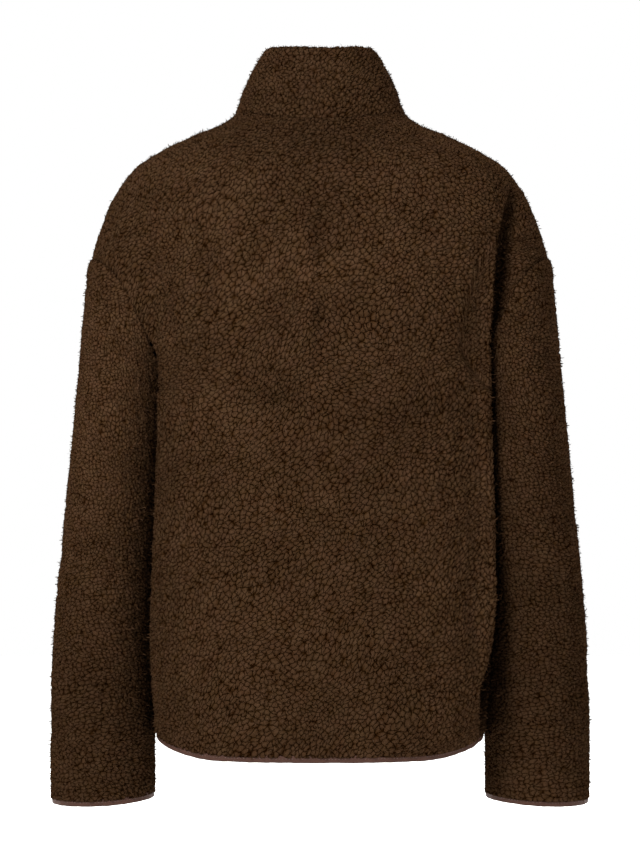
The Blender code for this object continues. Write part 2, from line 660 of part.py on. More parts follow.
def binding_profile():
    """Section of the folded binding: rounded below, flat where the fleece edge sits on it."""
    outer, inner = BINDING_INSET, BINDING_INSET + BINDING_THICKNESS
    top, bottom = -BINDING_GAP, -BINDING_GAP - BINDING_HEIGHT
    soft = 0.0014
    return (
        (outer, top),
        (outer, bottom + soft),
        (outer + soft, bottom),
        (inner - soft, bottom),
        (inner, bottom + soft),
        (inner, top),
    )


def level(vectors):
    """The same directions with no rise, made unit length."""
    flat = vectors * np.array([1.0, 1.0, 0.0])
    return flat / np.linalg.norm(flat, axis=-1, keepdims=True)


def hem_binding(back, right, left):
    """One strip round the hem, from the right front's zip edge to the left front's."""
    outer = np.concatenate([right[0][0, ::-1], back[0][0, ::-1][1:-1], left[0][0, ::-1]])
    inner = np.concatenate([right[1][0, ::-1], back[1][0, ::-1][1:-1], left[1][0, ::-1]])
    inward = level(inner - outer)
    upward = np.array([0.0, 0.0, 1.0])
    add_solid("hem_binding", *swept_mesh(outer, inward, upward, binding_profile(), False), "binding")


def cuff_binding(name, outer, inner):
    inward = level(inner[-1] - outer[-1])
    upward = np.array([0.0, 0.0, 1.0])
    add_solid(name, *swept_mesh(outer[-1], inward, upward, binding_profile(), True), "binding")


def front_line(front, collar_outer):
    """Points up the centre front, hem to collar top, and the outward direction at each.

    The line runs between the two front edges, with closer points where the slider sits.
    """
    line = np.concatenate([front[:-1, -1], collar_outer[:ZIP_ROWS_ON_COLLAR, 0]])
    line[:, 0] = 0.0
    run = np.concatenate([[0.0], np.cumsum(np.linalg.norm(np.diff(line, axis=0), axis=1))])
    stops = np.concatenate([run[run < run[-1] - 0.016], run[-1] - np.array(ZIP_TOP_STATIONS)])
    line = np.stack([np.interp(stops, run, line[:, axis]) for axis in range(3)], axis=1)
    along = np.gradient(line, stops, axis=0)
    along /= np.linalg.norm(along, axis=1, keepdims=True)
    outward = np.stack([0 * along[:, 0], along[:, 2], -along[:, 1]], axis=1)
    return line, outward, stops[-1] - stops


def zip_tape(name, side, line, outward, from_top):
    """Half of the zip: a tape, and the plain rib that stands for its row of teeth.

    The two ribs part towards the top, inside the slider.
    """
    parted = ZIP_PARTING * soft_step(-from_top, -0.0105, -0.0050)
    across = np.array([float(side), 0.0, 0.0])
    profile = (
        (TAPE_INNER + parted, -TAPE_BACK_DEPTH),
        (TAPE_INNER + parted, -CHAIN_FACE_DEPTH),
        (CHAIN_HALF_WIDTH + parted, -CHAIN_FACE_DEPTH),
        (CHAIN_HALF_WIDTH + parted, -TAPE_FACE_DEPTH),
        (TAPE_OUTER + 0 * parted, -TAPE_FACE_DEPTH),
        (TAPE_OUTER + 0 * parted, -TAPE_BACK_DEPTH),
    )
    profile = [(wide[:, None], depth) for wide, depth in profile]
    add_solid(name, *swept_mesh(line, across, outward, profile, False), "zip_tape", smooth=False)


def cells_mesh(cuts, filled):
    """The surface round the filled cells of a box that is cut up along its three directions."""
    shape = [len(cut) for cut in cuts]
    corners = np.stack(np.meshgrid(*cuts, indexing="ij"), axis=-1).reshape(-1, 3)
    index = np.arange(len(corners)).reshape(shape)
    padded = np.pad(filled, 1)
    faces = []
    for axis in range(3):
        first, second = [other for other in (0, 1, 2) if other != axis]
        for step in (-1, 1):
            open_side = filled & ~np.roll(padded, -step, axis=axis)[1:-1, 1:-1, 1:-1]
            for cell in np.argwhere(open_side):
                low = cell.copy()
                low[axis] += step > 0
                loop = []
                for one, two in ((0, 0), (1, 0), (1, 1), (0, 1)):
                    corner = low.copy()
                    corner[first] += one
                    corner[second] += two
                    loop.append(int(index[tuple(corner)]))
                faces.append(loop if (step > 0) == (axis != 1) else loop[::-1])
    used = sorted({i for face in faces for i in face})
    place = {old: new for new, old in enumerate(used)}
    return corners[used], [[place[i] for i in face] for face in faces]


def zip_slider(seat):
    """The slider's two plates, its side walls, the wedge between them and the bridge in front."""
    cuts = (
        np.array([-4.0, -3.0, -0.8, 0.8, 3.0, 4.0]) * MM,
        np.array([-6.8, -5.5, -3.8, -1.9, -0.5, 1.9, 2.8]) * MM,
        np.array([-5.5, -3.6, -2.4, 3.2, 4.4, 5.5]) * MM,
    )
    filled = np.zeros((5, 6, 5), bool)
    filled[:, 0] = True
    filled[:, 3] = True
    filled[[0, -1], 2] = True
    filled[2, 1:3, 3:] = True
    filled[2, 5, 1:4] = True
    filled[2, 4, [1, 3]] = True
    points, faces = cells_mesh(cuts, filled)
    points[:, 0] *= 1 + 0.2 * soft_step(points[:, 2], -0.004, 0.004)
    add_solid("zip_slider", seated(points, seat), faces, "zip_metal", smooth=False)


def zip_pull(seat):
    """The pull tab: a flat tab with an eye, hung by its top bar inside the slider's bridge."""
    cuts = (
        np.array([-2.9, -1.7, 1.7, 2.9]) * MM,
        np.array([-0.5, 0.5]) * MM,
        np.array([-26.0, -24.6, -6.4, -0.5, 0.5]) * MM,
    )
    filled = np.ones((3, 1, 4), bool)
    filled[1, 0, 2] = False
    points, faces = cells_mesh(cuts, filled)
    points[:, 0] *= 1 - 0.3 * soft_step(-points[:, 2], 0.0246, 0.0260)
    axis = seated(np.array([[0.0, PULL_AXIS_DEPTH, PULL_AXIS_RISE]]), seat)[0]
    points = seated(points + [0.0, PULL_AXIS_DEPTH, PULL_AXIS_RISE], seat) - axis
    pull = add_solid("zip_pull", points, faces, "zip_metal", smooth=False)
    pull.location = axis


def seated(points, seat):
    """Moves points from the slider's own directions (across, outward, along) to its place."""
    centre, outward, along = seat
    return centre + points[:, :1] * [1.0, 0.0, 0.0] + points[:, 1:2] * outward + points[:, 2:] * along


def slider_seat(line, outward, from_top):
    """The middle of the slider on the zip's line, with the line's directions there."""
    order = np.argsort(from_top)
    centre = np.array([np.interp(SLIDER_BELOW_TOP, from_top[order], line[order, i]) for i in range(3)])
    out = np.array([np.interp(SLIDER_BELOW_TOP, from_top[order], outward[order, i]) for i in range(3)])
    out /= np.linalg.norm(out)
    return centre, out, np.array([0.0, -out[2], out[1]])


def main():
    for old in list(bpy.data.objects):
        bpy.data.objects.remove(old)
    back = back_panel()
    right, left = front_panel(1), front_panel(-1)
    add_solid("back", *wall_mesh(*back), "fleece")
    add_solid("front_right", *wall_mesh(*right), "fleece")
    add_solid("front_left", *wall_mesh(*left), "fleece")
    for name, side in (("right", 1), ("left", -1)):
        outer, inner = sleeve(side)
        add_solid(f"sleeve_{name}", *wall_mesh(outer, inner, wrap=True), "fleece")
        cuff_binding(f"cuff_binding_{name}", outer, inner)
    ring = collar()
    add_solid("collar", *wall_mesh(*ring), "fleece")
    hem_binding(back, right, left)
    line, outward, from_top = front_line(right[0], ring[0])
    zip_tape("zip_tape_right", 1, line, outward, from_top)
    zip_tape("zip_tape_left", -1, line, outward, from_top)
    seat = slider_seat(line, outward, from_top)
    zip_slider(seat)
    zip_pull(seat)


main()
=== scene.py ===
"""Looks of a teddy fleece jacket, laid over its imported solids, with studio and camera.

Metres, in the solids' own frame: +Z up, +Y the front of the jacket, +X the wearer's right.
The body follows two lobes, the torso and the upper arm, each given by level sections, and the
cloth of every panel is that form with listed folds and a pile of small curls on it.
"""

import math

import bpy
import numpy as np
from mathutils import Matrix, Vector


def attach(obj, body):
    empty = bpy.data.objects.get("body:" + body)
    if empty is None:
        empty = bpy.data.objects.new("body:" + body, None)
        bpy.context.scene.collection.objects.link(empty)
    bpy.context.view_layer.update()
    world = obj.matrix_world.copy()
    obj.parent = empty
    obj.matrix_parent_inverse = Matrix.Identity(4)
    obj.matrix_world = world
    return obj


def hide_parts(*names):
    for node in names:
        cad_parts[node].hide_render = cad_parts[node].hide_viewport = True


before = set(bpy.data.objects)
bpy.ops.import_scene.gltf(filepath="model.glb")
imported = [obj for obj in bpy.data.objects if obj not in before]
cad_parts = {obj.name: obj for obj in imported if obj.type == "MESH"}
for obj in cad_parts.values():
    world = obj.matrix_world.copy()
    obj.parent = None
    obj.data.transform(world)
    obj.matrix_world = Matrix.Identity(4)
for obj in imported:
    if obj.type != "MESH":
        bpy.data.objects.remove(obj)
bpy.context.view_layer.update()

# Spacing of the points of the pile
SPACING = 0.00185
COLLAR_SPACING = 0.0014
INNER_STEP = 4            # the plain inner face has one point for this many of the pile's
CURL = 0.0048             # width of a curl of the pile
LONG = 1.20               # a curl is this much longer along its slant, and narrower across it
CELL_RANDOMNESS = 0.90    # 0 would put the curls in straight rows
PILE_DEPTH = 0.0021       # from the tops of the curls to the bottom of the gaps
ROLL_WIDTH = 0.0050       # the pile rolls in over this width along a seam
SHELL = 0.0042            # from the mean face of the pile to the inner face
# The pile's colour from the bottom of the gaps to the tops of the curls, with painted shade that makes
# the gaps far darker
PILE_TONE_AND_GAP_SHADE = [
    (0.14, (0.0046, 0.0015, 0.0002)),
    (0.38, (0.0150, 0.0063, 0.0019)),
    (0.60, (0.0222, 0.0106, 0.0044)),
    (1.00, (0.0315, 0.0166, 0.0085)),
]

# Cloth and seams
FLEECE = 0.006            # pile and backing together
COLLAR_WALL = 0.009       # two layers of fleece
SEAM_HALF_GAP = 0.0002    # each side of a seam between two panels
SEAM_GAP = 0.0008         # between the armhole edge and the top of the sleeve
ARM_CLEARANCE = 0.0024    # between the sleeve and the side of the body below the armpit
CLOTH_BEND = 0.0065       # how far the cloth rounds off a crease

# Neck seam and collar
NECK_HALF_WIDTH = 0.086
NECK_HALF_DEPTH = 0.0815
NECK_CENTRE_Y = 0.0035
NECK_DIP_FRONT = 0.038
NECK_DIP_BACK = 0.008
COLLAR_HEIGHT_BACK = 0.0730
COLLAR_HEIGHT_SIDE = 0.0645
COLLAR_HEIGHT_FRONT = 0.0710
COLLAR_LEAN = 0.012       # the top ring sits this far forward of the neck seam

# Armhole: a loop round the upper arm, level at the shoulder point and deepest at the armpit
SHOULDER_POINT = -0.142
ARMHOLE_DEPTH = 0.135
ARMHOLE_BEND = 1.6        # 1 would be a flat loop; more keeps the outer part level for longer
ARMPIT = SHOULDER_POINT - ARMHOLE_DEPTH
SLEEVE_CAP_STEP = 0.0016  # the sleeve's seam allowance lifts its top edge

# Hem, cuffs and their elastic binding
HEM = -0.627
HEM_SIDE_RISE = 0.014
CUFF = -0.681
CUFF_INNER_RISE = 0.0055
BINDING_HEIGHT = 0.0062
BINDING_THICKNESS = 0.0042
BINDING_INSET = 0.0009    # the pile stands this far outside the binding
BINDING_GAP = 0.0003

# Zip
ZIP_HALF_SLOT = 0.006     # from the centre line to each front edge
TAPE_EDGE_GAP = 0.0003
TAPE_OUTER = ZIP_HALF_SLOT - TAPE_EDGE_GAP
TAPE_INNER = 0.0004
TAPE_BACK_DEPTH = 0.0052
TAPE_FACE_DEPTH = 0.0042
TAPE_SEWN_IN = 0.0045     # how far a tape runs on behind its front edge
TAPE_BELOW_HEM = 0.0054   # the tapes end level with the lower edge of the binding
TOOTH_PITCH = 0.0026
TOOTH_DEPTH = 0.0039      # of a tooth's middle, inward from the zip's line
FIRST_TOOTH = 0.0085      # above the hem
LAST_TOOTH = 0.0065       # below the collar's top
SLIDER_BELOW_TOP = 0.0075
PULL_AXIS_DEPTH = 0.0006  # of the pull's bar, outward from the zip's line
PULL_AXIS_RISE = 0.0004   # above the slider's middle
MM = 0.001

ZIP_TURN = math.asin(ZIP_HALF_SLOT / NECK_HALF_WIDTH)

# Level sections of the torso lobe, top to bottom
TORSO_COLUMNS = ("height", "half_width", "back_y", "front_y", "side_y", "squareness")
TORSO = (
    (0.000, 0.0860, -0.078, 0.085, 0.0035, 2.00),
    (-0.007, 0.0965, -0.082, 0.086, 0.0035, 2.00),
    (-0.012, 0.1105, -0.085, 0.087, 0.0035, 2.00),
    (-0.022, 0.1335, -0.091, 0.089, 0.0035, 2.00),
    (-0.032, 0.1545, -0.096, 0.091, 0.0035, 2.00),
    (-0.042, 0.1725, -0.101, 0.094, 0.0040, 2.00),
    (-0.052, 0.1860, -0.105, 0.098, 0.0040, 2.00),
    (-0.062, 0.1945, -0.109, 0.101, 0.0040, 2.05),
    (-0.072, 0.1985, -0.112, 0.105, 0.0040, 2.10),
    (-0.085, 0.2000, -0.114, 0.108, 0.0040, 2.15),
    (-0.110, 0.1960, -0.118, 0.115, 0.0040, 2.30),
    (-0.140, 0.1890, -0.121, 0.122, 0.0050, 2.45),
    (-0.180, 0.1790, -0.122, 0.130, 0.0050, 2.60),
    (-0.250, 0.1700, -0.120, 0.134, 0.0060, 2.70),
    (-0.350, 0.1685, -0.115, 0.130, 0.0080, 2.70),
    (-0.450, 0.1700, -0.113, 0.124, 0.0100, 2.70),
    (-0.540, 0.1700, -0.115, 0.120, 0.0120, 2.70),
    (-0.590, 0.1660, -0.114, 0.117, 0.0130, 2.60),
    (-0.615, 0.1600, -0.111, 0.113, 0.0130, 2.50),
    (-0.640, 0.1490, -0.105, 0.107, 0.0130, 2.40),
)

# Level sections of the arm lobe on the +X side
ARM_COLUMNS = ("height", "centre_x", "half_width", "centre_y", "half_depth")
ARM = (
    (0.000, 0.040, 0.030, 0.0035, 0.030),
    (-0.030, 0.090, 0.040, 0.0040, 0.040),
    (-0.050, 0.120, 0.055, 0.0040, 0.050),
    (-0.072, 0.1415, 0.060, 0.0040, 0.056),
    (-0.092, 0.1540, 0.0575, 0.0040, 0.060),
    (-0.112, 0.1635, 0.0560, 0.0040, 0.063),
    (-0.142, 0.1730, 0.0550, 0.0050, 0.067),
    (-0.182, 0.1835, 0.0510, 0.0050, 0.070),
    (-0.250, 0.1930, 0.0480, 0.0060, 0.071),
    (-0.330, 0.2010, 0.0480, 0.0090, 0.069),
    (-0.430, 0.2100, 0.0495, 0.0140, 0.064),
    (-0.530, 0.2175, 0.0510, 0.0200, 0.058),
    (-0.630, 0.2190, 0.0525, 0.0260, 0.053),
    (-0.700, 0.2188, 0.0525, 0.0290, 0.049),
)

# Collar outline from the seam to the top: share of the height, half width
COLLAR_COLUMNS = ("share", "half_width")
COLLAR = (
    (0.00, 0.0860),
    (0.11, 0.0825),
    (0.25, 0.0798),
    (0.39, 0.0770),
    (0.53, 0.0730),
    (0.67, 0.0685),
    (0.81, 0.0640),
    (0.92, 0.0608),
    (1.00, 0.0590),
)
# The collar's rows: share of its height, how far the rounded top edge draws each one in
COLLAR_ROWS = (
    (0.006, 0.0),
    (0.16, 0.0),
    (0.34, 0.0),
    (0.52, 0.0),
    (0.70, 0.0),
    (0.84, 0.0002),
    (0.94, 0.0012),
    (1.00, 0.0034),
)
ZIP_ROWS_ON_COLLAR = 7    # the zip runs up to this row

# Soft folds: place, lean from the vertical, half length, half width, how far out (+) or in (-)
FOLD_COLUMNS = ("run", "z", "lean_deg", "half_length", "half_width", "lift")
BACK_FOLDS = (
    (0.000, -0.128, 2, 0.030, 0.010, -0.0045),
    (0.001, -0.205, -2, 0.030, 0.012, -0.0040),
    (-0.112, -0.168, 4, 0.045, 0.012, -0.0045),
    (-0.086, -0.150, -8, 0.040, 0.014, 0.0020),
    (0.070, -0.160, 85, 0.060, 0.020, 0.0030),
    (-0.060, -0.178, 88, 0.050, 0.018, 0.0030),
    (-0.045, -0.282, 80, 0.040, 0.014, -0.0035),
    (0.105, -0.292, 94, 0.050, 0.014, -0.0035),
    (-0.105, -0.368, 84, 0.040, 0.016, -0.0030),
    (0.060, -0.372, 100, 0.045, 0.018, -0.0025),
    (-0.050, -0.470, 86, 0.045, 0.016, -0.0030),
    (0.060, -0.478, 96, 0.030, 0.014, -0.0030),
    (-0.120, -0.490, 20, 0.050, 0.020, 0.0030),
    (0.130, -0.500, -14, 0.060, 0.018, 0.0030),
    (0.000, -0.040, 90, 0.070, 0.022, -0.0035),
    (0.190, -0.400, 1, 0.150, 0.016, 0.0025),
    (0.188, -0.510, 2, 0.070, 0.016, 0.0040),
)
FRONT_FOLDS = (
    (0.105, -0.200, -24, 0.060, 0.016, -0.0040),
    (-0.108, -0.210, 22, 0.055, 0.017, -0.0035),
    (0.070, -0.330, 82, 0.045, 0.016, -0.0030),
    (-0.085, -0.350, 98, 0.050, 0.016, -0.0035),
    (-0.060, -0.470, 84, 0.045, 0.016, -0.0025),
    (0.080, -0.490, 94, 0.040, 0.018, -0.0030),
    (0.120, -0.430, 12, 0.080, 0.020, 0.0030),
    (-0.125, -0.440, -10, 0.070, 0.018, 0.0030),
)
# On a sleeve the place is an angle round it, 0 inside, 90 at the back, 180 outside
SLEEVE_FOLD_COLUMNS = ("angle_deg", "z", "tilt", "half_turn_deg", "half_width", "lift")
SLEEVE_FOLDS = {
    "right": (
        (110, -0.215, 0.30, 45, 0.013, -0.0030),
        (85, -0.330, -0.20, 50, 0.014, -0.0035),
        (130, -0.405, 0.25, 40, 0.014, -0.0030),
        (75, -0.480, -0.30, 45, 0.016, -0.0030),
        (140, -0.560, 0.20, 50, 0.016, -0.0025),
        (265, -0.300, 0.25, 50, 0.014, -0.0040),
        (280, -0.390, -0.20, 55, 0.015, -0.0040),
        (255, -0.520, 0.20, 45, 0.016, -0.0030),
    ),
    "left": (
        (100, -0.235, -0.25, 45, 0.014, -0.0030),
        (80, -0.352, 0.35, 55, 0.015, -0.0040),
        (135, -0.430, -0.20, 45, 0.015, -0.0025),
        (90, -0.505, 0.25, 45, 0.016, -0.0030),
        (125, -0.600, -0.20, 50, 0.016, -0.0025),
        (270, -0.280, -0.25, 50, 0.014, -0.0040),
        (258, -0.375, 0.20, 55, 0.015, -0.0040),
        (285, -0.545, -0.20, 45, 0.016, -0.0030),
    ),
}

# How finely each piece is divided
ROWS_BELOW_ARMPIT = 10
ROWS_ALONG_ARMHOLE = 10
ARMHOLE_TOP_ROW = -0.095  # the row that starts at the shoulder point climbs to this height
SHOULDER_ROW_HEIGHTS = (-0.122, -0.102, -0.084, -0.068, -0.054, -0.040, -0.024, -0.009, 0.0)
HALF_COLUMNS = 16
CLOSER_AT_SEAM = 0.10     # moves a panel's columns towards its outer edge
SLEEVE_RINGS = 17
COLLAR_COLUMNS_COUNT = 40
SECTION_SAMPLES = 160
OUTLINE_STEP = 0.002
OUTLINE_STEPS = 180


def smooth_column(table, names, name, at):
    """A table's column at any height, by cubic pieces with the slope of the neighbouring rows."""
    rows = np.array(sorted(table))
    knots, values = rows[:, 0], rows[:, names.index(name)]
    slopes = np.gradient(values, knots)
    at = np.clip(at, knots[0], knots[-1])
    i = np.clip(np.searchsorted(knots, at, side="right") - 1, 0, len(knots) - 2)
    step = knots[i + 1] - knots[i]
    t = (at - knots[i]) / step
    start = (2 * t**3 - 3 * t**2 + 1) * values[i] + (t**3 - 2 * t**2 + t) * step * slopes[i]
    end = (-2 * t**3 + 3 * t**2) * values[i + 1] + (t**3 - t**2) * step * slopes[i + 1]
    return start + end


def torso(name, z):
    """A column of TORSO at height z."""
    return smooth_column(TORSO, TORSO_COLUMNS, name, z)


def arm(name, z):
    """A column of ARM at height z."""
    return smooth_column(ARM, ARM_COLUMNS, name, z)


def armhole_height(angle):
    """Height of the armhole seam at an angle round the arm: 0 at the armpit, pi at the shoulder."""
    return SHOULDER_POINT - ARMHOLE_DEPTH * ((1 + np.cos(angle)) / 2) ** ARMHOLE_BEND


def armhole_angle(z):
    """The same loop the other way round: the angle at which the seam is at height z."""
    share = np.clip((SHOULDER_POINT - z) / ARMHOLE_DEPTH, 0, 1) ** (1 / ARMHOLE_BEND)
    return np.arccos(2 * share - 1)


def armhole_angles():
    """Angles that divide the armhole seam, from armpit to shoulder point, into equal lengths."""
    angle = np.linspace(0, math.pi, 721)
    z = armhole_height(angle)
    across = arm("centre_x", z) - arm("half_width", z) * np.cos(angle)
    deep = arm("half_depth", z) * np.sin(angle)
    steps = np.sqrt(np.diff(across) ** 2 + np.diff(deep) ** 2 + np.diff(z) ** 2)
    run = np.concatenate([[0.0], np.cumsum(steps)])
    return np.interp(np.linspace(0, run[-1], ROWS_ALONG_ARMHOLE + 1), run, angle)


def soft_minimum(a, b, width):
    """The smaller of two values, with the corner between them rounded over width."""
    h = np.clip(0.5 + 0.5 * (b - a) / width, 0, 1)
    return b + (a - b) * h - width * h * (1 - h)


def emerging_angle(z, face):
    """Angle round the arm, from its inner side, where the arm comes out of the torso."""
    angles = np.linspace(0, math.pi, 181)[None, :]
    level = z[:, None]
    x = arm("centre_x", level) - arm("half_width", level) * np.cos(angles)
    y = face * arm("half_depth", level) * np.sin(angles)
    depth = face * (torso("front_y" if face > 0 else "back_y", level) - torso("side_y", level))
    power = torso("squareness", level)
    outside = (np.abs(x) / torso("half_width", level)) ** power + (np.abs(y) / depth) ** power >= 1
    first = np.argmax(outside, axis=1)
    return np.where(outside.any(axis=1), angles[0, first], math.pi)


def half_sections(face, z):
    """Outline of half the body at each height z, at even steps from the centre line outwards.

    face is -1 for the back and +1 for the front. The outline is an arc of the torso's
    superellipse, dented where the arm hangs beside it, and then an arc of the arm's ellipse.
    Also returns how far along it the side, armhole or shoulder seam lies.
    """
    seam_angle = np.where(z <= ARMPIT, 0.0, armhole_angle(z))
    emerging = emerging_angle(z, face)
    crease_angle = np.minimum(emerging, seam_angle)
    last_angle = np.where(seam_angle > emerging, math.pi, crease_angle)
    side_y = torso("side_y", z)
    depth = face * (torso("front_y" if face > 0 else "back_y", z) - side_y)
    power = torso("squareness", z)
    arm_y = arm("centre_y", z) - side_y
    crease_y = np.abs(arm_y + face * arm("half_depth", z) * np.sin(crease_angle)) * (z > ARMPIT)
    last = np.arccos(np.clip(crease_y / depth, 0, 1) ** (power / 2))
    turn = np.linspace(0, 1, SECTION_SAMPLES)[None, :] * last[:, None]
    power = power[:, None]
    torso_x = torso("half_width", z)[:, None] * np.sin(turn) ** (2 / power)
    torso_y = face * depth[:, None] * np.cos(turn) ** (2 / power)
    from_seam = np.hypot(np.abs(torso_y) - crease_y[:, None], np.maximum(ARMPIT - z, 0)[:, None])
    clearance = SEAM_GAP + ARM_CLEARANCE * soft_step(from_seam, 0.0, 0.022)
    across = (torso_y - arm_y[:, None]) / (arm("half_depth", z)[:, None] + clearance)
    reach = arm("half_width", z)[:, None] + clearance
    arm_side = arm("centre_x", z)[:, None] - reach * np.sqrt(np.clip(1 - across**2, 0, 1))
    beside = (np.abs(across) < 1) & (crease_angle < math.pi / 2)[:, None]
    dented = soft_minimum(torso_x, np.where(beside, arm_side, 1.0), CLOTH_BEND)
    torso_x += (dented - torso_x) * soft_step(emerging - seam_angle, -0.35, 0.0)[:, None]
    share = np.linspace(0, 1, SECTION_SAMPLES)[None, 1:]
    round_arm = crease_angle[:, None] + (last_angle - crease_angle)[:, None] * share
    arm_x = arm("centre_x", z)[:, None] - arm("half_width", z)[:, None] * np.cos(round_arm)
    arm_out = arm_y[:, None] + face * arm("half_depth", z)[:, None] * np.sin(round_arm)
    on_arm = (last_angle > crease_angle)[:, None]
    x = np.concatenate([torso_x, np.where(on_arm, arm_x, torso_x[:, -1:])], axis=1)
    y = np.concatenate([torso_y, np.where(on_arm, arm_out, torso_y[:, -1:])], axis=1)
    y += side_y[:, None]
    steps = np.hypot(np.diff(x, axis=1), np.diff(y, axis=1))
    run = np.concatenate([np.zeros((len(x), 1)), np.cumsum(steps, axis=1)], axis=1)
    past_crease = (seam_angle - crease_angle) / np.maximum(last_angle - crease_angle, 1e-9)
    seam_place = (SECTION_SAMPLES - 1) * (1 + np.clip(past_crease, 0, 1))
    columns = np.arange(run.shape[1])
    seam_run = np.array([np.interp(at, columns, row) for at, row in zip(seam_place, run)])
    return *even_and_soft(x, y, run), seam_run


def even_and_soft(x, y, run):
    """Each outline at even steps along itself, its creases rounded with a short bell curve.

    Past its end an outline goes on straight.
    """
    even = np.arange(OUTLINE_STEPS) * OUTLINE_STEP
    rows = []
    for row_x, row_y, row_run in zip(x, y, run):
        end = row_run[-1]
        before = end - 2 * OUTLINE_STEP
        both = []
        for values in (row_x, row_y):
            slope = (values[-1] - np.interp(before, row_run, values)) / (end - before)
            both.append(np.interp(even, row_run, values) + slope * np.maximum(even - end, 0))
        rows.append(both)
    reach = int(3 * CLOTH_BEND / OUTLINE_STEP)
    bell = np.exp(-0.5 * (np.arange(-reach, reach + 1) * OUTLINE_STEP / CLOTH_BEND) ** 2)
    bell /= bell.sum()
    x, y = (np.array([both[i] for both in rows]) for i in (0, 1))
    mirrored = slice(reach, 0, -1)
    x = np.concatenate([-x[:, mirrored], x], axis=1)
    y = np.concatenate([y[:, mirrored], y], axis=1)
    return np.stack([np.convolve(row, bell, "valid") for row in x]), np.stack(
        [np.convolve(row, bell, "valid") for row in y]
    )


def neck_ring(turn):
    """The neck seam, by angle from the front centre to the back centre on the +X side."""
    c = np.cos(turn)
    dip = (NECK_DIP_FRONT - NECK_DIP_BACK) / 2 * c + (NECK_DIP_FRONT + NECK_DIP_BACK) / 2 * c * c
    return np.stack(
        [NECK_HALF_WIDTH * np.sin(turn), NECK_CENTRE_Y + NECK_HALF_DEPTH * c, -dip], axis=-1
    )


def soft_step(value, low, high):
    """0 below low and 1 above high, and between them t squared times 3 - 2 t."""
    t = np.clip((value - low) / (high - low), 0, 1)
    return t * t * (3 - 2 * t)


def row_heights():
    """Height of each row of a body panel, hem to neck: at its outer end, and at the centre."""
    below = np.linspace(HEM, ARMPIT, ROWS_BELOW_ARMPIT + 1)
    climb = np.linspace(ARMPIT, ARMHOLE_TOP_ROW, ROWS_ALONG_ARMHOLE + 1)
    outer = np.concatenate([below, armhole_height(armhole_angles())[1:], SHOULDER_ROW_HEIGHTS])
    return outer, np.concatenate([below, climb[1:], 0 * np.array(SHOULDER_ROW_HEIGHTS)])


def fold_lift(folds, run, z):
    """How far the folds push the cloth out: a sum of long bell-shaped troughs and ridges.

    run is the distance round the body from the centre line, positive on the wearer's right.
    """
    lift = np.zeros_like(run)
    for fold_run, fold_z, lean, half_length, half_width, height in folds:
        lean = math.radians(lean)
        along = (run - fold_run) * math.sin(lean) + (z - fold_z) * math.cos(lean)
        across = (run - fold_run) * math.cos(lean) - (z - fold_z) * math.sin(lean)
        lift += height * np.exp(-((along / half_length) ** 2) - (across / half_width) ** 2)
    return lift


def grid_normals(grid, wrap=False):
    """Unit normals of a grid of points: the cross product of its two directions."""
    if wrap:
        across = np.roll(grid, -1, axis=1) - np.roll(grid, 1, axis=1)
    else:
        across = np.gradient(grid, axis=1)
    up = np.gradient(grid, axis=0)
    return unit(np.cross(across, up))


def half_panel(face, side):
    """Outer points of half a body panel, and each point's distance from the centre line.

    Rows run from hem to neck and columns from the centre to the seam. The rows fan out to the
    points of the armhole, and the top rows bend down to the neck seam.
    """
    heights, middle = row_heights()
    share = np.linspace(0, 1, HALF_COLUMNS + 1)
    share += CLOSER_AT_SEAM * np.sin(math.pi * share)
    first = ZIP_TURN if face > 0 else math.pi
    ring = neck_ring(first + (math.pi / 2 - first) * share)
    climb = 1 - np.clip((share - 0.3) / 0.7, 0, 1) ** 2
    z = heights[:, None] + (middle - heights)[:, None] * climb
    top_row = SHOULDER_POINT + (ARMHOLE_TOP_ROW - SHOULDER_POINT) * climb
    rising = np.clip(1 - heights / SHOULDER_POINT, 0, 1)[:, None]
    z = np.where(rising > 1e-6, top_row * (1 - rising) + ring[:, 2] * rising, z)
    z += HEM_SIDE_RISE * soft_step(share, 0.45, 1.0) * np.exp((HEM - heights[:, None]) / 0.05)
    seam_run = half_sections(face, heights)[2][:, None]
    start = ZIP_HALF_SLOT if face > 0 else 0.0
    run = start + (seam_run - start) * share
    grid = section_points(face, heights, run, z)
    grid += soft_step(heights, -0.075, 0.0)[:, None, None] * (ring - grid[-1])
    straight = on_straight_seam(heights)
    grid[straight, -1, 1] = torso("side_y", z[straight, -1]) + face * SEAM_HALF_GAP
    angle = armhole_angle(heights[~straight])
    grid[~straight, -1] = arm_point(1, -face * angle, heights[~straight], 0.0)
    grid[..., 0] *= side
    return grid, side * run


def section_points(face, heights, run, z):
    """The body's surface at each distance along its outline and each height z."""
    levels = np.unique(np.concatenate([heights, np.linspace(HEM - 0.012, 0.0, 140)]))
    x, y, _ = half_sections(face, levels)
    below = np.clip(np.searchsorted(levels, z, side="right") - 1, 0, len(levels) - 2)
    rise = np.clip((z - levels[below]) / (levels[below + 1] - levels[below]), 0, 1)
    place = np.clip(run / OUTLINE_STEP, 0, x.shape[1] - 1.001)
    left = place.astype(int)
    step = place - left

    def blend(values, level):
        return values[level, left] * (1 - step) + values[level, left + 1] * step

    x, y = (blend(part, below) * (1 - rise) + blend(part, below + 1) * rise for part in (x, y))
    return np.stack([x, y, z], axis=-1)


def on_straight_seam(heights):
    """True for the rows whose outer end lies on the side or shoulder seam, not on the armhole."""
    return (heights <= ARMPIT + 1e-6) | (heights >= SHOULDER_POINT - 1e-6)


def arm_point(side, angle, z, inset):
    """A point of the arm lobe's ellipse at height z, this far inside its outer face."""
    half_width = arm("half_width", z) - inset
    half_depth = arm("half_depth", z) - inset
    x = arm("centre_x", z) - half_width * np.cos(angle)
    y = arm("centre_y", z) - half_depth * np.sin(angle)
    return np.stack([side * x, y, z], axis=-1)


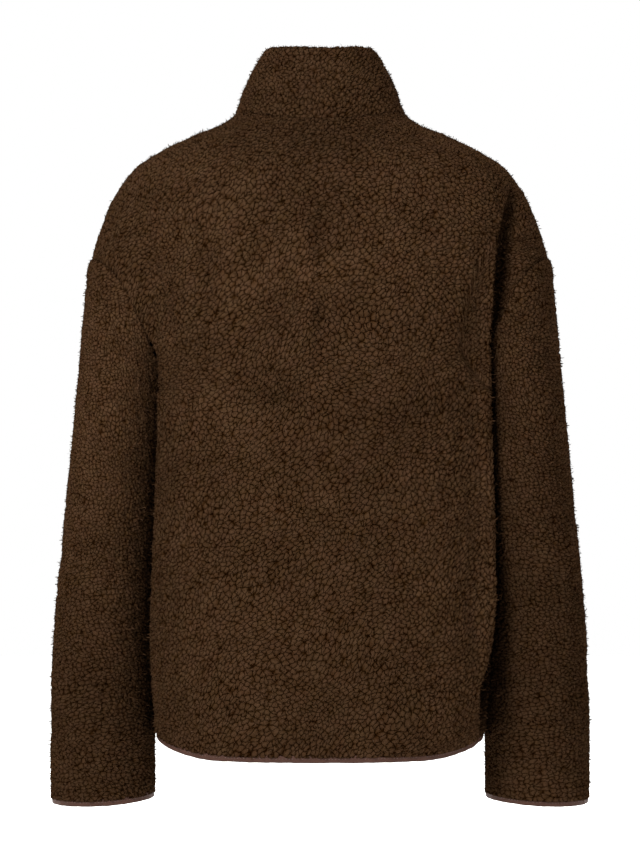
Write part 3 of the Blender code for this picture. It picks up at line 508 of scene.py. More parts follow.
def sleeve_lift(side, angle, z, from_seam):
    """How far the sleeve's folds and its raised top seam push the cloth out."""
    lift = SLEEVE_CAP_STEP * soft_step(-np.cos(angle), 0.1, 0.9) * np.exp(-from_seam / 0.03)
    folds = SLEEVE_FOLDS["right" if side > 0 else "left"]
    for place, fold_z, tilt, half_turn, half_width, height in folds:
        turn = (np.degrees(angle) - place + 180) % 360 - 180
        across = z - fold_z - tilt * np.radians(turn) * 0.06
        fade = np.exp(-((turn / half_turn) ** 2) - (across / half_width) ** 2)
        lift += height * fade * soft_step(from_seam, 0.0, 0.03)
    return lift


def cuff_height(angle):
    """Height of the sleeve's lower edge: a little higher on the inner side."""
    return CUFF + CUFF_INNER_RISE * ((1 + np.cos(angle)) / 2) ** 2


def collar_point(turn, share, inset):
    """A point of the collar by angle from the front centre and share of its height."""
    base = neck_ring(turn)
    end = np.where(np.cos(turn) > 0, COLLAR_HEIGHT_FRONT, COLLAR_HEIGHT_BACK)
    height = COLLAR_HEIGHT_SIDE + (end - COLLAR_HEIGHT_SIDE) * np.cos(turn) ** 2
    half_width = smooth_column(COLLAR, COLLAR_COLUMNS, "half_width", share)
    scale = half_width / NECK_HALF_WIDTH
    centre = NECK_CENTRE_Y + COLLAR_LEAN * share
    across = np.sin(turn) * (NECK_HALF_WIDTH * scale - inset)
    depth = np.cos(turn) * (NECK_HALF_DEPTH * (0.35 + 0.65 * scale) - inset)
    return np.stack([across, centre + depth, base[..., 2] + height * share], axis=-1)


def smooth_through(values, knots, at):
    """Rows of values placed at knots, read at other places by the cubic pieces of smooth_column."""
    slopes = np.gradient(values, knots, axis=0)
    i = np.clip(np.searchsorted(knots, at, side="right") - 1, 0, len(knots) - 2)
    wide = (-1,) + (1,) * (values.ndim - 1)
    step = (knots[i + 1] - knots[i]).reshape(wide)
    t = (at - knots[i]).reshape(wide) / step
    start = (2 * t**3 - 3 * t**2 + 1) * values[i] + (t**3 - 2 * t**2 + t) * step * slopes[i]
    end = (3 * t**2 - 2 * t**3) * values[i + 1] + (t**3 - t**2) * step * slopes[i + 1]
    return start + end


def run_along(path):
    """Distance along a path at each of its points."""
    return np.concatenate([[0.0], np.cumsum(np.linalg.norm(np.diff(path, axis=0), axis=-1))])


def read_along(at, run, path):
    """A path's three columns read at places of its run, by straight pieces."""
    return np.stack([np.interp(at, run, path[:, i]) for i in range(3)], axis=-1)


def unit(vectors):
    """The same directions, one metre long."""
    return vectors / np.linalg.norm(vectors, axis=-1, keepdims=True)


def climbed(grid):
    """Distance up each column of a grid from its first row."""
    steps = np.linalg.norm(np.diff(grid, axis=0), axis=-1)
    return np.concatenate([np.zeros((1, grid.shape[1])), np.cumsum(steps, axis=0)])


def mean_run(points):
    """Distance from the first row to each row of a grid, averaged over its columns."""
    steps = np.linalg.norm(np.diff(points, axis=0), axis=-1).mean(axis=1)
    return np.concatenate([[0.0], np.cumsum(steps)])


def refined(grid, spacing):
    """A coarse grid made finer both ways: cubic pieces read at even steps of its mean run.

    The first three channels are the place, and the rest follow it. Each side gets a whole number
    of inner steps.
    """
    for _ in range(2):
        knots = mean_run(grid[..., :3])
        steps = INNER_STEP * max(2, round(knots[-1] / spacing / INNER_STEP))
        grid = smooth_through(grid, knots, np.linspace(0, knots[-1], steps + 1))
        grid = np.swapaxes(grid, 0, 1)
    return grid


def cloth_run(grid, middle):
    """Distance along each row from its middle column, and up each column from the first row."""
    across = climbed(grid.swapaxes(0, 1)).T
    return across - across[:, middle : middle + 1], climbed(grid)


def slow(u, v, wave, seed):
    """A slow uneven swell from about -1 to 1: a sum of seven waves in turned directions."""
    turn = np.random.RandomState(seed).uniform(0, 2 * math.pi, (7, 2))
    total = 0.0
    for k, (way, phase) in enumerate(turn):
        along = (u * math.cos(way) + v * math.sin(way)) / (wave * (0.7 + 0.12 * k))
        total = total + np.sin(2 * math.pi * along + phase)
    return total / 3.2


def grain(across, up, size, turn, seed):
    """Cloth coordinates counted in curls: turned, bent by slow swells, and a little flattened."""
    bent_u = across + 0.9 * size * slow(across, up, 0.120, seed + 1)
    bent_v = up + 0.9 * size * slow(across, up, 0.110, seed + 2)
    turn = math.radians(turn)
    a = (bent_u * math.cos(turn) + bent_v * math.sin(turn)) / (LONG * size)
    b = (bent_v * math.cos(turn) - bent_u * math.sin(turn)) / (size / LONG)
    return np.stack([a + 40.0 * seed, b, np.zeros_like(a)], axis=-1)


def cell_reader():
    """Geometry nodes that write, at each point, the cells that the pile's material draws there."""
    tree = bpy.data.node_groups.new("read_cells", "GeometryNodeTree")
    tree.interface.new_socket("Geometry", in_out="INPUT", socket_type="NodeSocketGeometry")
    tree.interface.new_socket("Geometry", in_out="OUTPUT", socket_type="NodeSocketGeometry")
    start, end = tree.nodes.new("NodeGroupInput"), tree.nodes.new("NodeGroupOutput")
    place = tree.nodes.new("GeometryNodeInputNamedAttribute")
    place.data_type = "FLOAT_VECTOR"
    place.inputs["Name"].default_value = "grain"
    geometry = start.outputs[0]
    for name, feature in (("first", "F1"), ("second", "F2")):
        cells = tree.nodes.new("ShaderNodeTexVoronoi")
        cells.voronoi_dimensions = "2D"
        cells.feature = feature
        cells.inputs["Scale"].default_value = 1.0
        cells.inputs["Randomness"].default_value = CELL_RANDOMNESS
        tree.links.new(place.outputs[0], cells.inputs["Vector"])
        store = tree.nodes.new("GeometryNodeStoreNamedAttribute")
        store.data_type = "FLOAT"
        store.domain = "POINT"
        store.inputs["Name"].default_value = name
        tree.links.new(geometry, store.inputs["Geometry"])
        tree.links.new(cells.outputs["Distance"], store.inputs["Value"])
        geometry = store.outputs[0]
    tree.links.new(geometry, end.inputs[0])
    return tree


def placed(name, data):
    """A new object in the scene, at the origin."""
    made = bpy.data.objects.new(name, data)
    bpy.context.scene.collection.objects.link(made)
    return made


def cells_at(places):
    """Distance of each place, counted in curls, to the middles of its nearest and next cell."""
    mesh = bpy.data.meshes.new("places")
    mesh.vertices.add(places.size // 3)
    mesh.vertices.foreach_set("co", np.zeros(places.size, np.float32))
    layer = mesh.attributes.new("grain", "FLOAT_VECTOR", "POINT")
    layer.data.foreach_set("vector", places.astype(np.float32).ravel())
    holder = placed("places", mesh)
    reader = holder.modifiers.new("read", "NODES")
    reader.node_group = bpy.data.node_groups.get("read_cells") or cell_reader()
    read = holder.evaluated_get(bpy.context.evaluated_depsgraph_get()).data
    found = []
    for name in ("first", "second"):
        values = np.empty(places.size // 3, np.float32)
        read.attributes[name].data.foreach_get("value", values)
        found.append(values.reshape(places.shape[:-1]).astype(float))
    bpy.data.objects.remove(holder)
    bpy.data.meshes.remove(mesh)
    return found


def rolled_in(away, depth):
    """How far the pile rolls in near an edge: depth times (1 - a soft step away) squared."""
    return depth * (1 - soft_step(away, 0.0, ROLL_WIDTH)) ** 2


def piled(base, across, up, roll, painted_shading, seed, size=CURL, turn=46):
    """Lays the pile on a smooth face: moves each point along the normal by its curl's height.

    A curl is a dome over its cell, 1 - 0.9 distance squared, that falls off near the next cell.
    The pile is lower where it is worn flat, and rolls in at the seams. Returns the points, and
    the place of each in curls with the painted light and shade there as its third number.
    """
    places = grain(across, up, size, turn, seed)
    first, second = cells_at(places)
    height = (1 - 0.9 * first**2) * soft_step(second - first, -0.12, 0.30)
    swell = slow(across, up, 0.021, seed + 3) + 0.6 * slow(across, up, 0.011, seed + 9)
    flat = 1 + 0.25 * slow(across, up, 0.16, seed + 5)
    lift = 0.0006 - PILE_DEPTH * flat * (1 - height) + 0.0004 * swell - roll
    points = base + grid_normals(base) * lift[..., None]
    # the third number carries the painted light and shade
    places[..., 2] = painted_shading
    return points, places


def cloth_object(name, outer, inner, places, wrap=False):
    """A closed shell of cloth: the pile on the outer grid, a plainer inner face, and cut edges.

    The inner face keeps one point in INNER_STEP of each row and column. Along an edge each short
    outer segment makes a triangle with the nearest inner point, and each inner segment one with
    the outer point at its middle. The places of the pile's curls, with the painted light and shade
    as their third number, go into an attribute.
    """
    kept = inner[::INNER_STEP, ::INNER_STEP]
    index = numbered(outer)
    inner_index = index.size + numbered(kept)
    if wrap:
        index = np.concatenate([index, index[:, :1]], axis=1)
        inner_index = np.concatenate([inner_index, inner_index[:, :1]], axis=1)

    def loops(grid):
        if wrap:
            return [grid[0, :-1], grid[-1, ::-1][:-1]]
        around = [grid[0, :-1], grid[:-1, -1], grid[-1, ::-1][:-1], grid[::-1, 0][:-1]]
        return [np.concatenate(around)]

    rims = []
    for fine, coarse in zip(loops(index), loops(inner_index)):
        i = np.arange(len(fine))
        j = ((i + INNER_STEP // 2) // INNER_STEP) % len(coarse)
        rims.append(np.stack([np.roll(fine, -1), fine, coarse[j]], axis=-1))
        middle = fine[np.arange(len(coarse)) * INNER_STEP + INNER_STEP // 2]
        rims.append(np.stack([coarse, np.roll(coarse, -1), middle], axis=-1))
    quads = [four_sided(index), four_sided(inner_index)[:, ::-1]]
    points = np.concatenate([outer.reshape(-1, 3), kept.reshape(-1, 3)])
    mesh = mesh_of(name, points, np.concatenate(quads), np.concatenate(rims))
    kept_places = places[::INNER_STEP, ::INNER_STEP]
    places = np.concatenate([places.reshape(-1, 3), kept_places.reshape(-1, 3)])
    layer = mesh.attributes.new("grain", "FLOAT_VECTOR", "POINT")
    layer.data.foreach_set("vector", places.astype(np.float32).ravel())
    slots = np.zeros(len(mesh.polygons), np.int32)
    slots[len(quads[0]) : len(quads[0]) + len(quads[1])] = 1
    mesh.polygons.foreach_set("material_index", slots)
    return placed(name, mesh)


def numbered(grid):
    """The number of each point of a grid, in the order that its rows are stored."""
    return np.arange(grid.shape[0] * grid.shape[1]).reshape(grid.shape[:2])


def four_sided(index):
    """The faces between the points of a grid, from the grid of their numbers."""
    quads = np.stack([index[:-1, :-1], index[:-1, 1:], index[1:, 1:], index[1:, :-1]], axis=2)
    return quads.reshape(-1, 4)


def mesh_of(name, points, quads, triangles=None):
    """A smooth-shaded mesh from arrays of points, four-sided faces and triangles."""
    if triangles is None:
        triangles = np.zeros((0, 3), int)
    mesh = bpy.data.meshes.new(name)
    corners = np.concatenate([quads.ravel(), triangles.ravel()]).astype(np.int32)
    after = 4 * len(quads) + 3 * np.arange(len(triangles))
    starts = np.concatenate([4 * np.arange(len(quads)), after])
    mesh.vertices.add(len(points))
    mesh.loops.add(len(corners))
    mesh.polygons.add(len(starts))
    mesh.vertices.foreach_set("co", np.asarray(points, np.float32).ravel())
    mesh.loops.foreach_set("vertex_index", corners)
    mesh.polygons.foreach_set("loop_start", starts.astype(np.int32))
    mesh.polygons.foreach_set("use_smooth", np.ones(len(starts), bool))
    mesh.update(calc_edges=True)
    mesh.validate()
    return mesh


# Finer creases than the solids have: place, lean, half length, half width, and how far out (+)
# or in (-)
BACK_CREASES = (
    (0.000, -0.132, 1, 0.026, 0.0060, -0.0024),
    (0.001, -0.208, -1, 0.022, 0.0055, -0.0022),
    (-0.011, -0.180, 1, 0.040, 0.0060, 0.0014),
    (-0.110, -0.175, 3, 0.042, 0.0065, -0.0024),
    (-0.165, -0.180, -14, 0.050, 0.0070, -0.0030),
    (0.070, -0.300, 96, 0.045, 0.0090, -0.0020),
    (-0.040, -0.284, 70, 0.026, 0.0080, -0.0018),
    (0.010, -0.420, 82, 0.050, 0.0100, -0.0014),
    (-0.085, -0.560, 100, 0.040, 0.0090, -0.0014),
    (0.090, -0.575, 78, 0.045, 0.0090, -0.0014),
)
FRONT_CREASES = (
    (0.060, -0.560, 70, 0.035, 0.0090, -0.0016),
    (-0.075, -0.590, 104, 0.035, 0.0090, -0.0016),
    (0.125, -0.185, -20, 0.050, 0.0080, -0.0026),
    (-0.128, -0.190, 18, 0.050, 0.0080, -0.0026),
    (0.045, -0.300, 84, 0.030, 0.0100, -0.0016),
    (-0.050, -0.400, 98, 0.034, 0.0100, -0.0016),
)
# Painted shade (-) and painted light (+) on the pile: place, lean, half length, half width, amount
BACK_PAINTED_SHADING = (
    (0.000, -0.026, 90, 0.085, 0.030, -0.22),
    (0.000, -0.085, 0, 0.036, 0.040, -0.16),
    (0.000, -0.520, 90, 0.160, 0.100, -0.05),
    (0.000, -0.155, 90, 0.150, 0.034, 0.12),
    (0.000, -0.132, 0, 0.028, 0.011, -0.14),
    (0.001, -0.208, 0, 0.022, 0.010, -0.12),
    (-0.011, -0.180, 0, 0.036, 0.007, 0.10),
    (-0.110, -0.175, 3, 0.042, 0.011, -0.12),
    (-0.042, -0.284, 70, 0.028, 0.018, -0.12),
    (0.088, -0.298, 95, 0.062, 0.020, -0.13),
    (0.060, -0.380, 92, 0.050, 0.024, -0.06),
    (-0.150, -0.420, 0, 0.200, 0.012, -0.08),
    (0.135, -0.120, 0, 0.090, 0.040, 0.10),
    (0.165, -0.430, 0, 0.260, 0.045, 0.18),
    (-0.172, -0.480, 0, 0.180, 0.008, -0.12),
)
FRONT_PAINTED_SHADING = (
    (0.120, -0.200, -22, 0.060, 0.016, -0.12),
    (-0.122, -0.205, 20, 0.060, 0.016, -0.12),
    (0.060, -0.330, 84, 0.050, 0.022, -0.08),
    (-0.070, -0.350, 96, 0.050, 0.022, -0.08),
    (0.070, -0.140, 80, 0.060, 0.034, 0.08),
    (-0.070, -0.145, 100, 0.060, 0.034, 0.08),
)
# Painted shade (-) and painted light (+) on a sleeve: angle round it, height, half turn, half length,
# amount
SLEEVE_PAINTED_SHADING = {
    "right": (
        (20, -0.430, 50, 0.330, -0.22),
        (100, -0.560, 120, 0.160, -0.20),
        (120, -0.230, 60, 0.070, 0.05),
        (300, -0.450, 70, 0.250, -0.12),
    ),
    "left": (
        (20, -0.480, 42, 0.260, -0.30),
        (110, -0.600, 120, 0.130, -0.20),
        (120, -0.290, 70, 0.100, 0.20),
        (300, -0.450, 70, 0.250, -0.12),
    ),
}
# The deep fold where the back hangs over the right armhole and sleeve. At each height: how far
# round the edge is, its place across, how far it stands out, how far the cloth past it sinks in,
# and how dark the painted shadow on the pile is down there
EDGE_FOLD = (
    (-0.640, 0.196, 0.1580, 0.0000, 0.0000, 0.0),
    (-0.612, 0.192, 0.1580, 0.0010, 0.0010, 0.4),
    (-0.594, 0.182, 0.1566, 0.0030, 0.0030, 0.8),
    (-0.577, 0.176, 0.1563, 0.0045, 0.0050, 0.9),
    (-0.560, 0.178, 0.1583, 0.0050, 0.0060, 0.9),
    (-0.545, 0.184, 0.1640, 0.0055, 0.0060, 0.9),
    (-0.521, 0.191, 0.1695, 0.0060, 0.0050, 0.9),
    (-0.500, 0.192, 0.1720, 0.0065, 0.0030, 0.8),
    (-0.478, 0.192, 0.1735, 0.0070, 0.0010, 0.8),
    (-0.440, 0.192, 0.1733, 0.0075, 0.0000, 0.8),
    (-0.380, 0.189, 0.1718, 0.0080, 0.0000, 0.8),
    (-0.347, 0.187, 0.1703, 0.0080, 0.0000, 0.8),
    (-0.312, 0.186, 0.1693, 0.0085, 0.0000, 0.8),
    (-0.273, 0.184, 0.1680, 0.0090, 0.0000, 0.8),
    (-0.247, 0.186, 0.1675, 0.0095, 0.0020, 0.8),
    (-0.214, 0.187, 0.1672, 0.0095, 0.0040, 0.8),
    (-0.190, 0.186, 0.1682, 0.0090, 0.0050, 0.8),
    (-0.157, 0.187, 0.1703, 0.0080, 0.0055, 0.8),
    (-0.140, 0.188, 0.1720, 0.0070, 0.0055, 0.8),
    (-0.125, 0.190, 0.1743, 0.0060, 0.0050, 0.7),
    (-0.109, 0.193, 0.1768, 0.0050, 0.0045, 0.7),
    (-0.097, 0.197, 0.1800, 0.0040, 0.0040, 0.6),
    (-0.083, 0.204, 0.1838, 0.0022, 0.0025, 0.5),
    (-0.072, 0.212, 0.1870, 0.0000, 0.0000, 0.0),
)
NECK_ROLL = 0.0004
SIDE_ROLL = 0.0011
HEM_FLARE = 0.026         # share by which the jacket widens again just above the hem corners
HEM_DROP = 0.0013         # how far the pile hangs over the top of a binding
SEWN_IN = 0.0056          # from the front edge to the row of stitches beside the zip


def fold_values(z):
    """The columns of EDGE_FOLD at heights z, drawn smoothly through its rows."""
    heights, *columns = np.array(EDGE_FOLD).T
    at = np.linspace(heights[0], heights[-1], 300)
    return [np.interp(z, at, smooth_through(column, heights, at)) for column in columns]


def edge_folded(base, run):
    """Hangs the back over in its deep fold beside the right arm.

    Up to the edge the cloth goes out by a bell curve of the distance from it. Past the edge it
    turns back within 5 mm by a soft step and sinks in, and comes up again before the seam.
    Returns the points, a factor of painted shadow on the pile past the edge, and the room that
    the inner face leaves for the sunk part.
    """
    edge, place, out, sunk, dark = fold_values(base[..., 2])
    past = run - edge
    rows = np.arange(len(base))
    column = np.abs(past).argmin(axis=1)
    sideways = (place[rows, column] - base[rows, column, 0])[:, None] * (out > 0)
    sideways = np.where(np.abs(sideways) < 0.012, sideways, 0.0)
    seam = run[:, -1:] - run
    near = np.where(past < 0, np.exp(-((past / 0.017) ** 2)), 1 - soft_step(past, 0.0, 0.0055))
    down = soft_step(past, 0.0, 0.0045) * (1 - soft_step(past, 0.007, 0.022))
    held = soft_step(seam, 0.0, 0.006)
    folded = base.copy()
    folded[..., 0] += (sideways * near - 0.0020 * down * np.clip(sunk / 0.003, 0, 1)) * held
    folded[..., 1] += (sunk * down - out * near) * held
    # painted shadow on the pile past the fold's edge, reaching further near the hem
    far = 0.012 + 0.06 * soft_step(-base[..., 2], 0.525, 0.560)
    shade = soft_step(past, -0.0008, 0.0022) * (1 - soft_step(past, far, far + 0.012))
    room = sunk * np.exp(-(((past - 0.006) / 0.014) ** 2)) * held
    return folded, 1 - dark * shade, room


def panel_cloth(name, grid, run, folds, creases, painted_shading, zip_edge, seed):
    """A body panel: its formula's grid made finer, its folds pushed in and out, and the pile on it.

    zip_edge is the column, 0 or -1, that runs along the zip, or None. There the pile is pressed
    down along the row of stitches, by a bell curve of the distance from it.
    """
    edge = np.minimum(np.arange(grid.shape[1]), np.arange(grid.shape[1])[::-1]) / 3
    rows = np.minimum(np.arange(grid.shape[0])[::-1] / 2, 1)[:, None]
    hold = np.clip(edge, 0, 1)[None, :] * rows
    fine = refined(np.concatenate([grid, run[..., None], hold[..., None]], axis=-1), SPACING)
    base, run, hold = fine[..., :3], fine[..., 3], np.clip(fine[..., 4], 0, 1)
    lift = fold_lift(folds + creases, run, base[..., 2]) * hold
    base = base + grid_normals(base) * lift[..., None]
    base[..., 0] *= 1 + HEM_FLARE * np.exp(-(((base[..., 2] + 0.612) / 0.014) ** 2))
    inner, behind, shade = base, grid_normals(base), 1.0
    if name == "back_pile":
        base, shade, room = edge_folded(base, run)
        inner = inner - behind * room[..., None]
    middle = {None: base.shape[1] // 2, 0: 0, -1: base.shape[1] - 1}[zip_edge]
    across, up = cloth_run(base, middle)
    ends = [across - across[:, :1], across[:, -1:] - across]
    roll = rolled_in(up[-1:] - up, NECK_ROLL)
    for column, away in zip((0, -1), ends):
        roll = roll + rolled_in(away, 0.0008 if column == zip_edge else SIDE_ROLL)
        if column == zip_edge:
            roll = roll + 0.0020 * np.exp(-(((away - SEWN_IN) / 0.0013) ** 2))
    # painted light and shade: the listed patches, painted shade where the pile rolls in at the edges and
    # along the stitches, and on the back the painted shadow past the deep fold
    light = (1 + fold_lift(painted_shading, run, base[..., 2]) - 90 * roll) * shade
    outer, places = piled(base, across, up, roll, light, seed)
    outer[..., 2] -= HEM_DROP * np.exp(-up / 0.0025)
    return cloth_object(name, outer, inner - behind * SHELL, places), base, outer


def back_cloth():
    """The back: base surface, painted light and shade, creases and curls, from collar seam to hem."""
    halves = zip(half_panel(-1, -1), half_panel(-1, 1))
    grid, run = (np.concatenate([left[:, ::-1], right[:, 1:]], axis=1) for left, right in halves)
    return panel_cloth("back_pile", grid, run, BACK_FOLDS, BACK_CREASES, BACK_PAINTED_SHADING, None, 11)


def front_cloth(side, name, seed):
    """One front panel, right (side 1) or left (side -1) of the zip."""
    grid, run = half_panel(1, side)
    if side > 0:
        grid, run = grid[:, ::-1], run[:, ::-1]
    zip_edge = -1 if side > 0 else 0
    grid[:, zip_edge, 0] = side * ZIP_HALF_SLOT
    return panel_cloth(name, grid, run, FRONT_FOLDS, FRONT_CREASES, FRONT_PAINTED_SHADING, zip_edge, seed)


def sleeve_painted_shading(side, angle, z):
    """Painted light and shade on a sleeve: 1 and a sum of bell curves of angle and height."""
    light = 1 + 0 * z
    patches = SLEEVE_PAINTED_SHADING["right" if side > 0 else "left"]
    for place, middle, half_turn, half_length, amount in patches:
        turn = (np.degrees(angle) - place + 180) % 360 - 180
        light += amount * np.exp(-((turn / half_turn) ** 2) - ((z - middle) / half_length) ** 2)
    return light


def fold_shadow(points):
    """How dark the right sleeve is under the back's fold: two bell curves of the way past it."""
    _, place, out, _, dark = fold_values(points[..., 2])
    past = np.maximum(points[..., 0] - place, 0)
    shade = 0.62 * np.exp(-((past / 0.0050) ** 2)) + 0.30 * np.exp(-((past / 0.013) ** 2))
    return 1 - shade * dark / 0.9 * soft_step(-points[..., 1], -0.010, 0.010)


def sleeve_cloth(side, name, seed):
    """A sleeve: ellipses of the arm lobe from the cuff up to the armhole, with its folds and pile.

    Its cap stands a little proud of the body panels just below the armhole seam.
    """
    around = INNER_STEP * round(0.37 / SPACING / INNER_STEP)
    rings = INNER_STEP * round(0.47 / SPACING / INNER_STEP)
    angle = np.linspace(0, 2 * math.pi, around + 1)[None, :-1]
    if side < 0:
        angle = angle[:, ::-1]
    share = np.linspace(1, 0, rings + 1)[:, None]
    top = armhole_height(angle) - 0.0001
    z = top + (cuff_height(angle) - top) * share
    angle = angle + 0 * z
    lift = sleeve_lift(side, angle, z, top - z) * (1 - soft_step(share, 0.9, 1.0))
    below = (top - z - 0.012) / 0.010
    lift += 0.0014 * soft_step(-np.cos(angle), 0.1, 0.8) * np.exp(-(below**2))
    base = arm_point(side, angle, z, -lift)
    normal = grid_normals(base, wrap=True)
    steps = np.linalg.norm(np.roll(base, -1, axis=1) - base, axis=-1)
    across = np.cumsum(steps, axis=1) - steps
    whole = steps.sum(axis=1, keepdims=True)
    up = climbed(base)
    from_top = up[-1:] - up
    roll = rolled_in(from_top, SIDE_ROLL) + rolled_in(np.minimum(across, whole - across), 0.0007)
    # painted light and shade of the sleeve, painted shade where the pile rolls in at its edges, and on
    # the right sleeve the painted shadow of the back's fold
    light = sleeve_painted_shading(side, angle, z) - 90 * roll
    if side > 0:
        light *= fold_shadow(base)
    outer, places = piled(base, across, up, roll, light, seed, size=0.94 * CURL, turn=8)
    outer[..., 2] += 0.0006 * np.exp(-from_top / 0.002) - HEM_DROP * np.exp(-up / 0.0025)
    inner = base - normal * SHELL
    return cloth_object(name, outer, inner, places, wrap=True), base, outer


def collar_cloth():
    """The collar: a double layer, with pile on both faces and over its rounded top edge.

    One grid goes up the outer face, over the top and down the inner face, and its rows are the
    two faces of the formula joined end to end.
    """
    turn = np.linspace(ZIP_TURN, 2 * math.pi - ZIP_TURN, COLLAR_COLUMNS_COUNT + 1)[None, ::-1]
    share, drawn_in = (column[:, None] for column in np.array(COLLAR_ROWS).T)
    share = np.concatenate([[[0.0]], share[1:]])
    outer = collar_point(turn, share, drawn_in)
    inner = collar_point(turn, share, COLLAR_WALL - drawn_in)
    grid = np.concatenate([outer, inner[::-1]])
    grid[:, 0, 0] = -ZIP_HALF_SLOT
    grid[:, -1, 0] = ZIP_HALF_SLOT
    base = refined(grid, COLLAR_SPACING)
    across, up = cloth_run(base, base.shape[1] // 2)
    roll = rolled_in(up, NECK_ROLL) + rolled_in(up[-1:] - up, NECK_ROLL)
    for away in (across - across[:, :1], across[:, -1:] - across):
        roll = roll + rolled_in(away, 0.0008) + 0.0016 * np.exp(-(((away - SEWN_IN) / 0.0013) ** 2))
    # painted shade where the pile rolls in at the edges and along the stitches; the whole collar is also
    # a little darker
    light = 0.88 + 0 * up - 90 * roll
    outer, places = piled(base, across, up, roll, light, 31)
    inner = base - grid_normals(base) * 0.0036
    return cloth_object("collar_pile", outer, inner, places), base, outer


def swept(name, path, inward, upward, profile, closed):
    """A closed profile of (inward, upward) points carried along a path.

    Each ring is path + inward x first + upward x second. An open path gets flat ends, made of
    triangles round the middle of the ring. The UV map is distance along and round, in metres.
    """
    rings = path[:, None] + inward[:, None] * profile[..., :1] + upward[:, None] * profile[..., 1:]
    points = rings.reshape(-1, 3)
    index = numbered(rings)
    loop = np.concatenate([index, index[:, :1]], axis=1)
    triangles = np.zeros((0, 3), int)
    if closed:
        loop = np.concatenate([loop, loop[:1]], axis=0)
    else:
        first, last = (np.full(rings.shape[1], len(points) + end) for end in (0, 1))
        points = np.concatenate([points, rings[[0, -1]].mean(axis=1)])
        first = np.stack([np.roll(index[0], -1), index[0], first], axis=-1)
        last = np.stack([index[-1], np.roll(index[-1], -1), last], axis=-1)
        triangles = np.concatenate([first, last])
    along = run_along(np.concatenate([path, path[:1]]) if closed else path)
    round_it = run_along(np.concatenate([rings[0], rings[0][:1]]))
    places = np.stack(np.meshgrid(along, round_it, indexing="ij"), axis=-1)
    quads, corners = four_sided(loop), four_sided(numbered(places))
    a, b, c, d = (points[quads[:, i]] - points.mean(axis=0) for i in range(4))
    if np.einsum("ij,ij->", a, np.cross(b, c) + np.cross(c, d)) < 0:
        quads, triangles, corners = quads[:, ::-1], triangles[:, ::-1], corners[:, ::-1]
    mesh = mesh_of(name, points, quads, triangles)
    uv = np.concatenate([places.reshape(-1, 2)[corners.ravel()], np.zeros((triangles.size, 2))])
    mesh.uv_layers.new(name="UVMap").data.foreach_set("uv", uv.astype(np.float32).ravel())
    return placed(name, mesh)


def repeated(name, template, faces, places, axes):
    """Copies of a small closed shape: a point is place + its three numbers along the three axes."""
    points = sum(axes[i][:, None] * template[None, :, i : i + 1] for i in range(3))
    points = (places[:, None] + points).reshape(-1, 3)
    shift = len(template) * np.arange(len(places))[:, None, None]
    triangles = (faces[None] + shift).reshape(-1, 3)
    return placed(name, mesh_of(name, points, np.zeros((0, 4), int), triangles))


def capped_rings(rings):
    """Rings of points with the same count, as one list of points and outward triangles."""
    index = numbered(rings)
    quads = four_sided(np.concatenate([index, index[:, :1]], axis=1))
    fan = np.arange(1, rings.shape[1] - 1)
    low = np.stack([0 * fan, fan + 1, fan], axis=-1)
    high = index[-1][np.stack([0 * fan, fan, fan + 1], axis=-1)]
    faces = np.concatenate([quads[:, [0, 1, 2]], quads[:, [0, 2, 3]], low, high])
    points = rings.reshape(-1, 3)
    p, q, r = (points[faces[:, i]] - points.mean(axis=0) for i in range(3))
    if np.einsum("ij,ij->", p, np.cross(q, r)) < 0:
        faces = faces[:, ::-1]
    return points, faces


def level(vectors):
    """The same directions with no rise, one metre long."""
    return unit(vectors * np.array([1.0, 1.0, 0.0]))


def even_path(path, inward, spacing, closed):
    """A path and its inward directions read at even steps, and the run along it."""
    if closed:
        path, inward = np.concatenate([path, path[:1]]), np.concatenate([inward, inward[:1]])
    run = run_along(path)
    at = np.linspace(0, run[-1], round(run[-1] / spacing) + 1)
    if closed:
        at = at[:-1]
    return read_along(at, run, path), level(read_along(at, run, inward)), at


def binding_band(name, path, inward, closed, seed):
    """The folded elastic binding: a rounded section carried along the edge, with small puckers.

    The section is a rounded rectangle, its across and rise the powers 0.4 and 0.45 of a circle's
    cosine and sine. A row of small waves pushes its faces in and out along the edge.
    """
    path, inward, at = even_path(path, inward, 0.0022, closed)
    turn = np.linspace(0, 2 * math.pi, 20, endpoint=False)
    across = BINDING_INSET + BINDING_THICKNESS * (0.5 - 0.5 * signed_power(np.cos(turn), 0.40))
    top = 0.0012
    middle = (top - BINDING_GAP - BINDING_HEIGHT) / 2
    half = (top + BINDING_GAP + BINDING_HEIGHT) / 2
    rise = middle + half * signed_power(np.sin(turn), 0.45)
    wave = 0.00022 * slow(at, 0 * at, 0.0085, seed) + 0.0002 * slow(at, 0 * at, 0.04, seed + 1)
    wave = wave[:, None]
    profile = np.stack([across - wave * np.cos(turn), rise + 0.6 * wave * np.sin(turn)], axis=-1)
    upward = np.tile([0.0, 0.0, 1.0], (len(path), 1))
    return swept(name, path, inward, upward, profile, closed), (path, inward, at)


def signed_power(value, power):
    """The power of a number's size, with the number's own sign."""
    return np.sign(value) * np.abs(value) ** power


def stitch_shape(length, radius):
    """One stitch: a thread along the first axis that dips under the cloth at both ends."""
    along = np.linspace(-0.5, 0.5, 5)
    dip = -radius * 4.0 * (np.abs(along) * 2) ** 3
    turn = np.linspace(0, 2 * math.pi, 5, endpoint=False)
    thick = radius * (1 - 0.3 * (np.abs(along) * 2) ** 4)
    rings = np.stack(
        [
            (along * length)[:, None] + 0 * turn[None, :],
            thick[:, None] * np.cos(turn)[None, :],
            dip[:, None] + thick[:, None] * np.sin(turn)[None, :],
        ],
        axis=-1,
    )
    return capped_rings(rings)


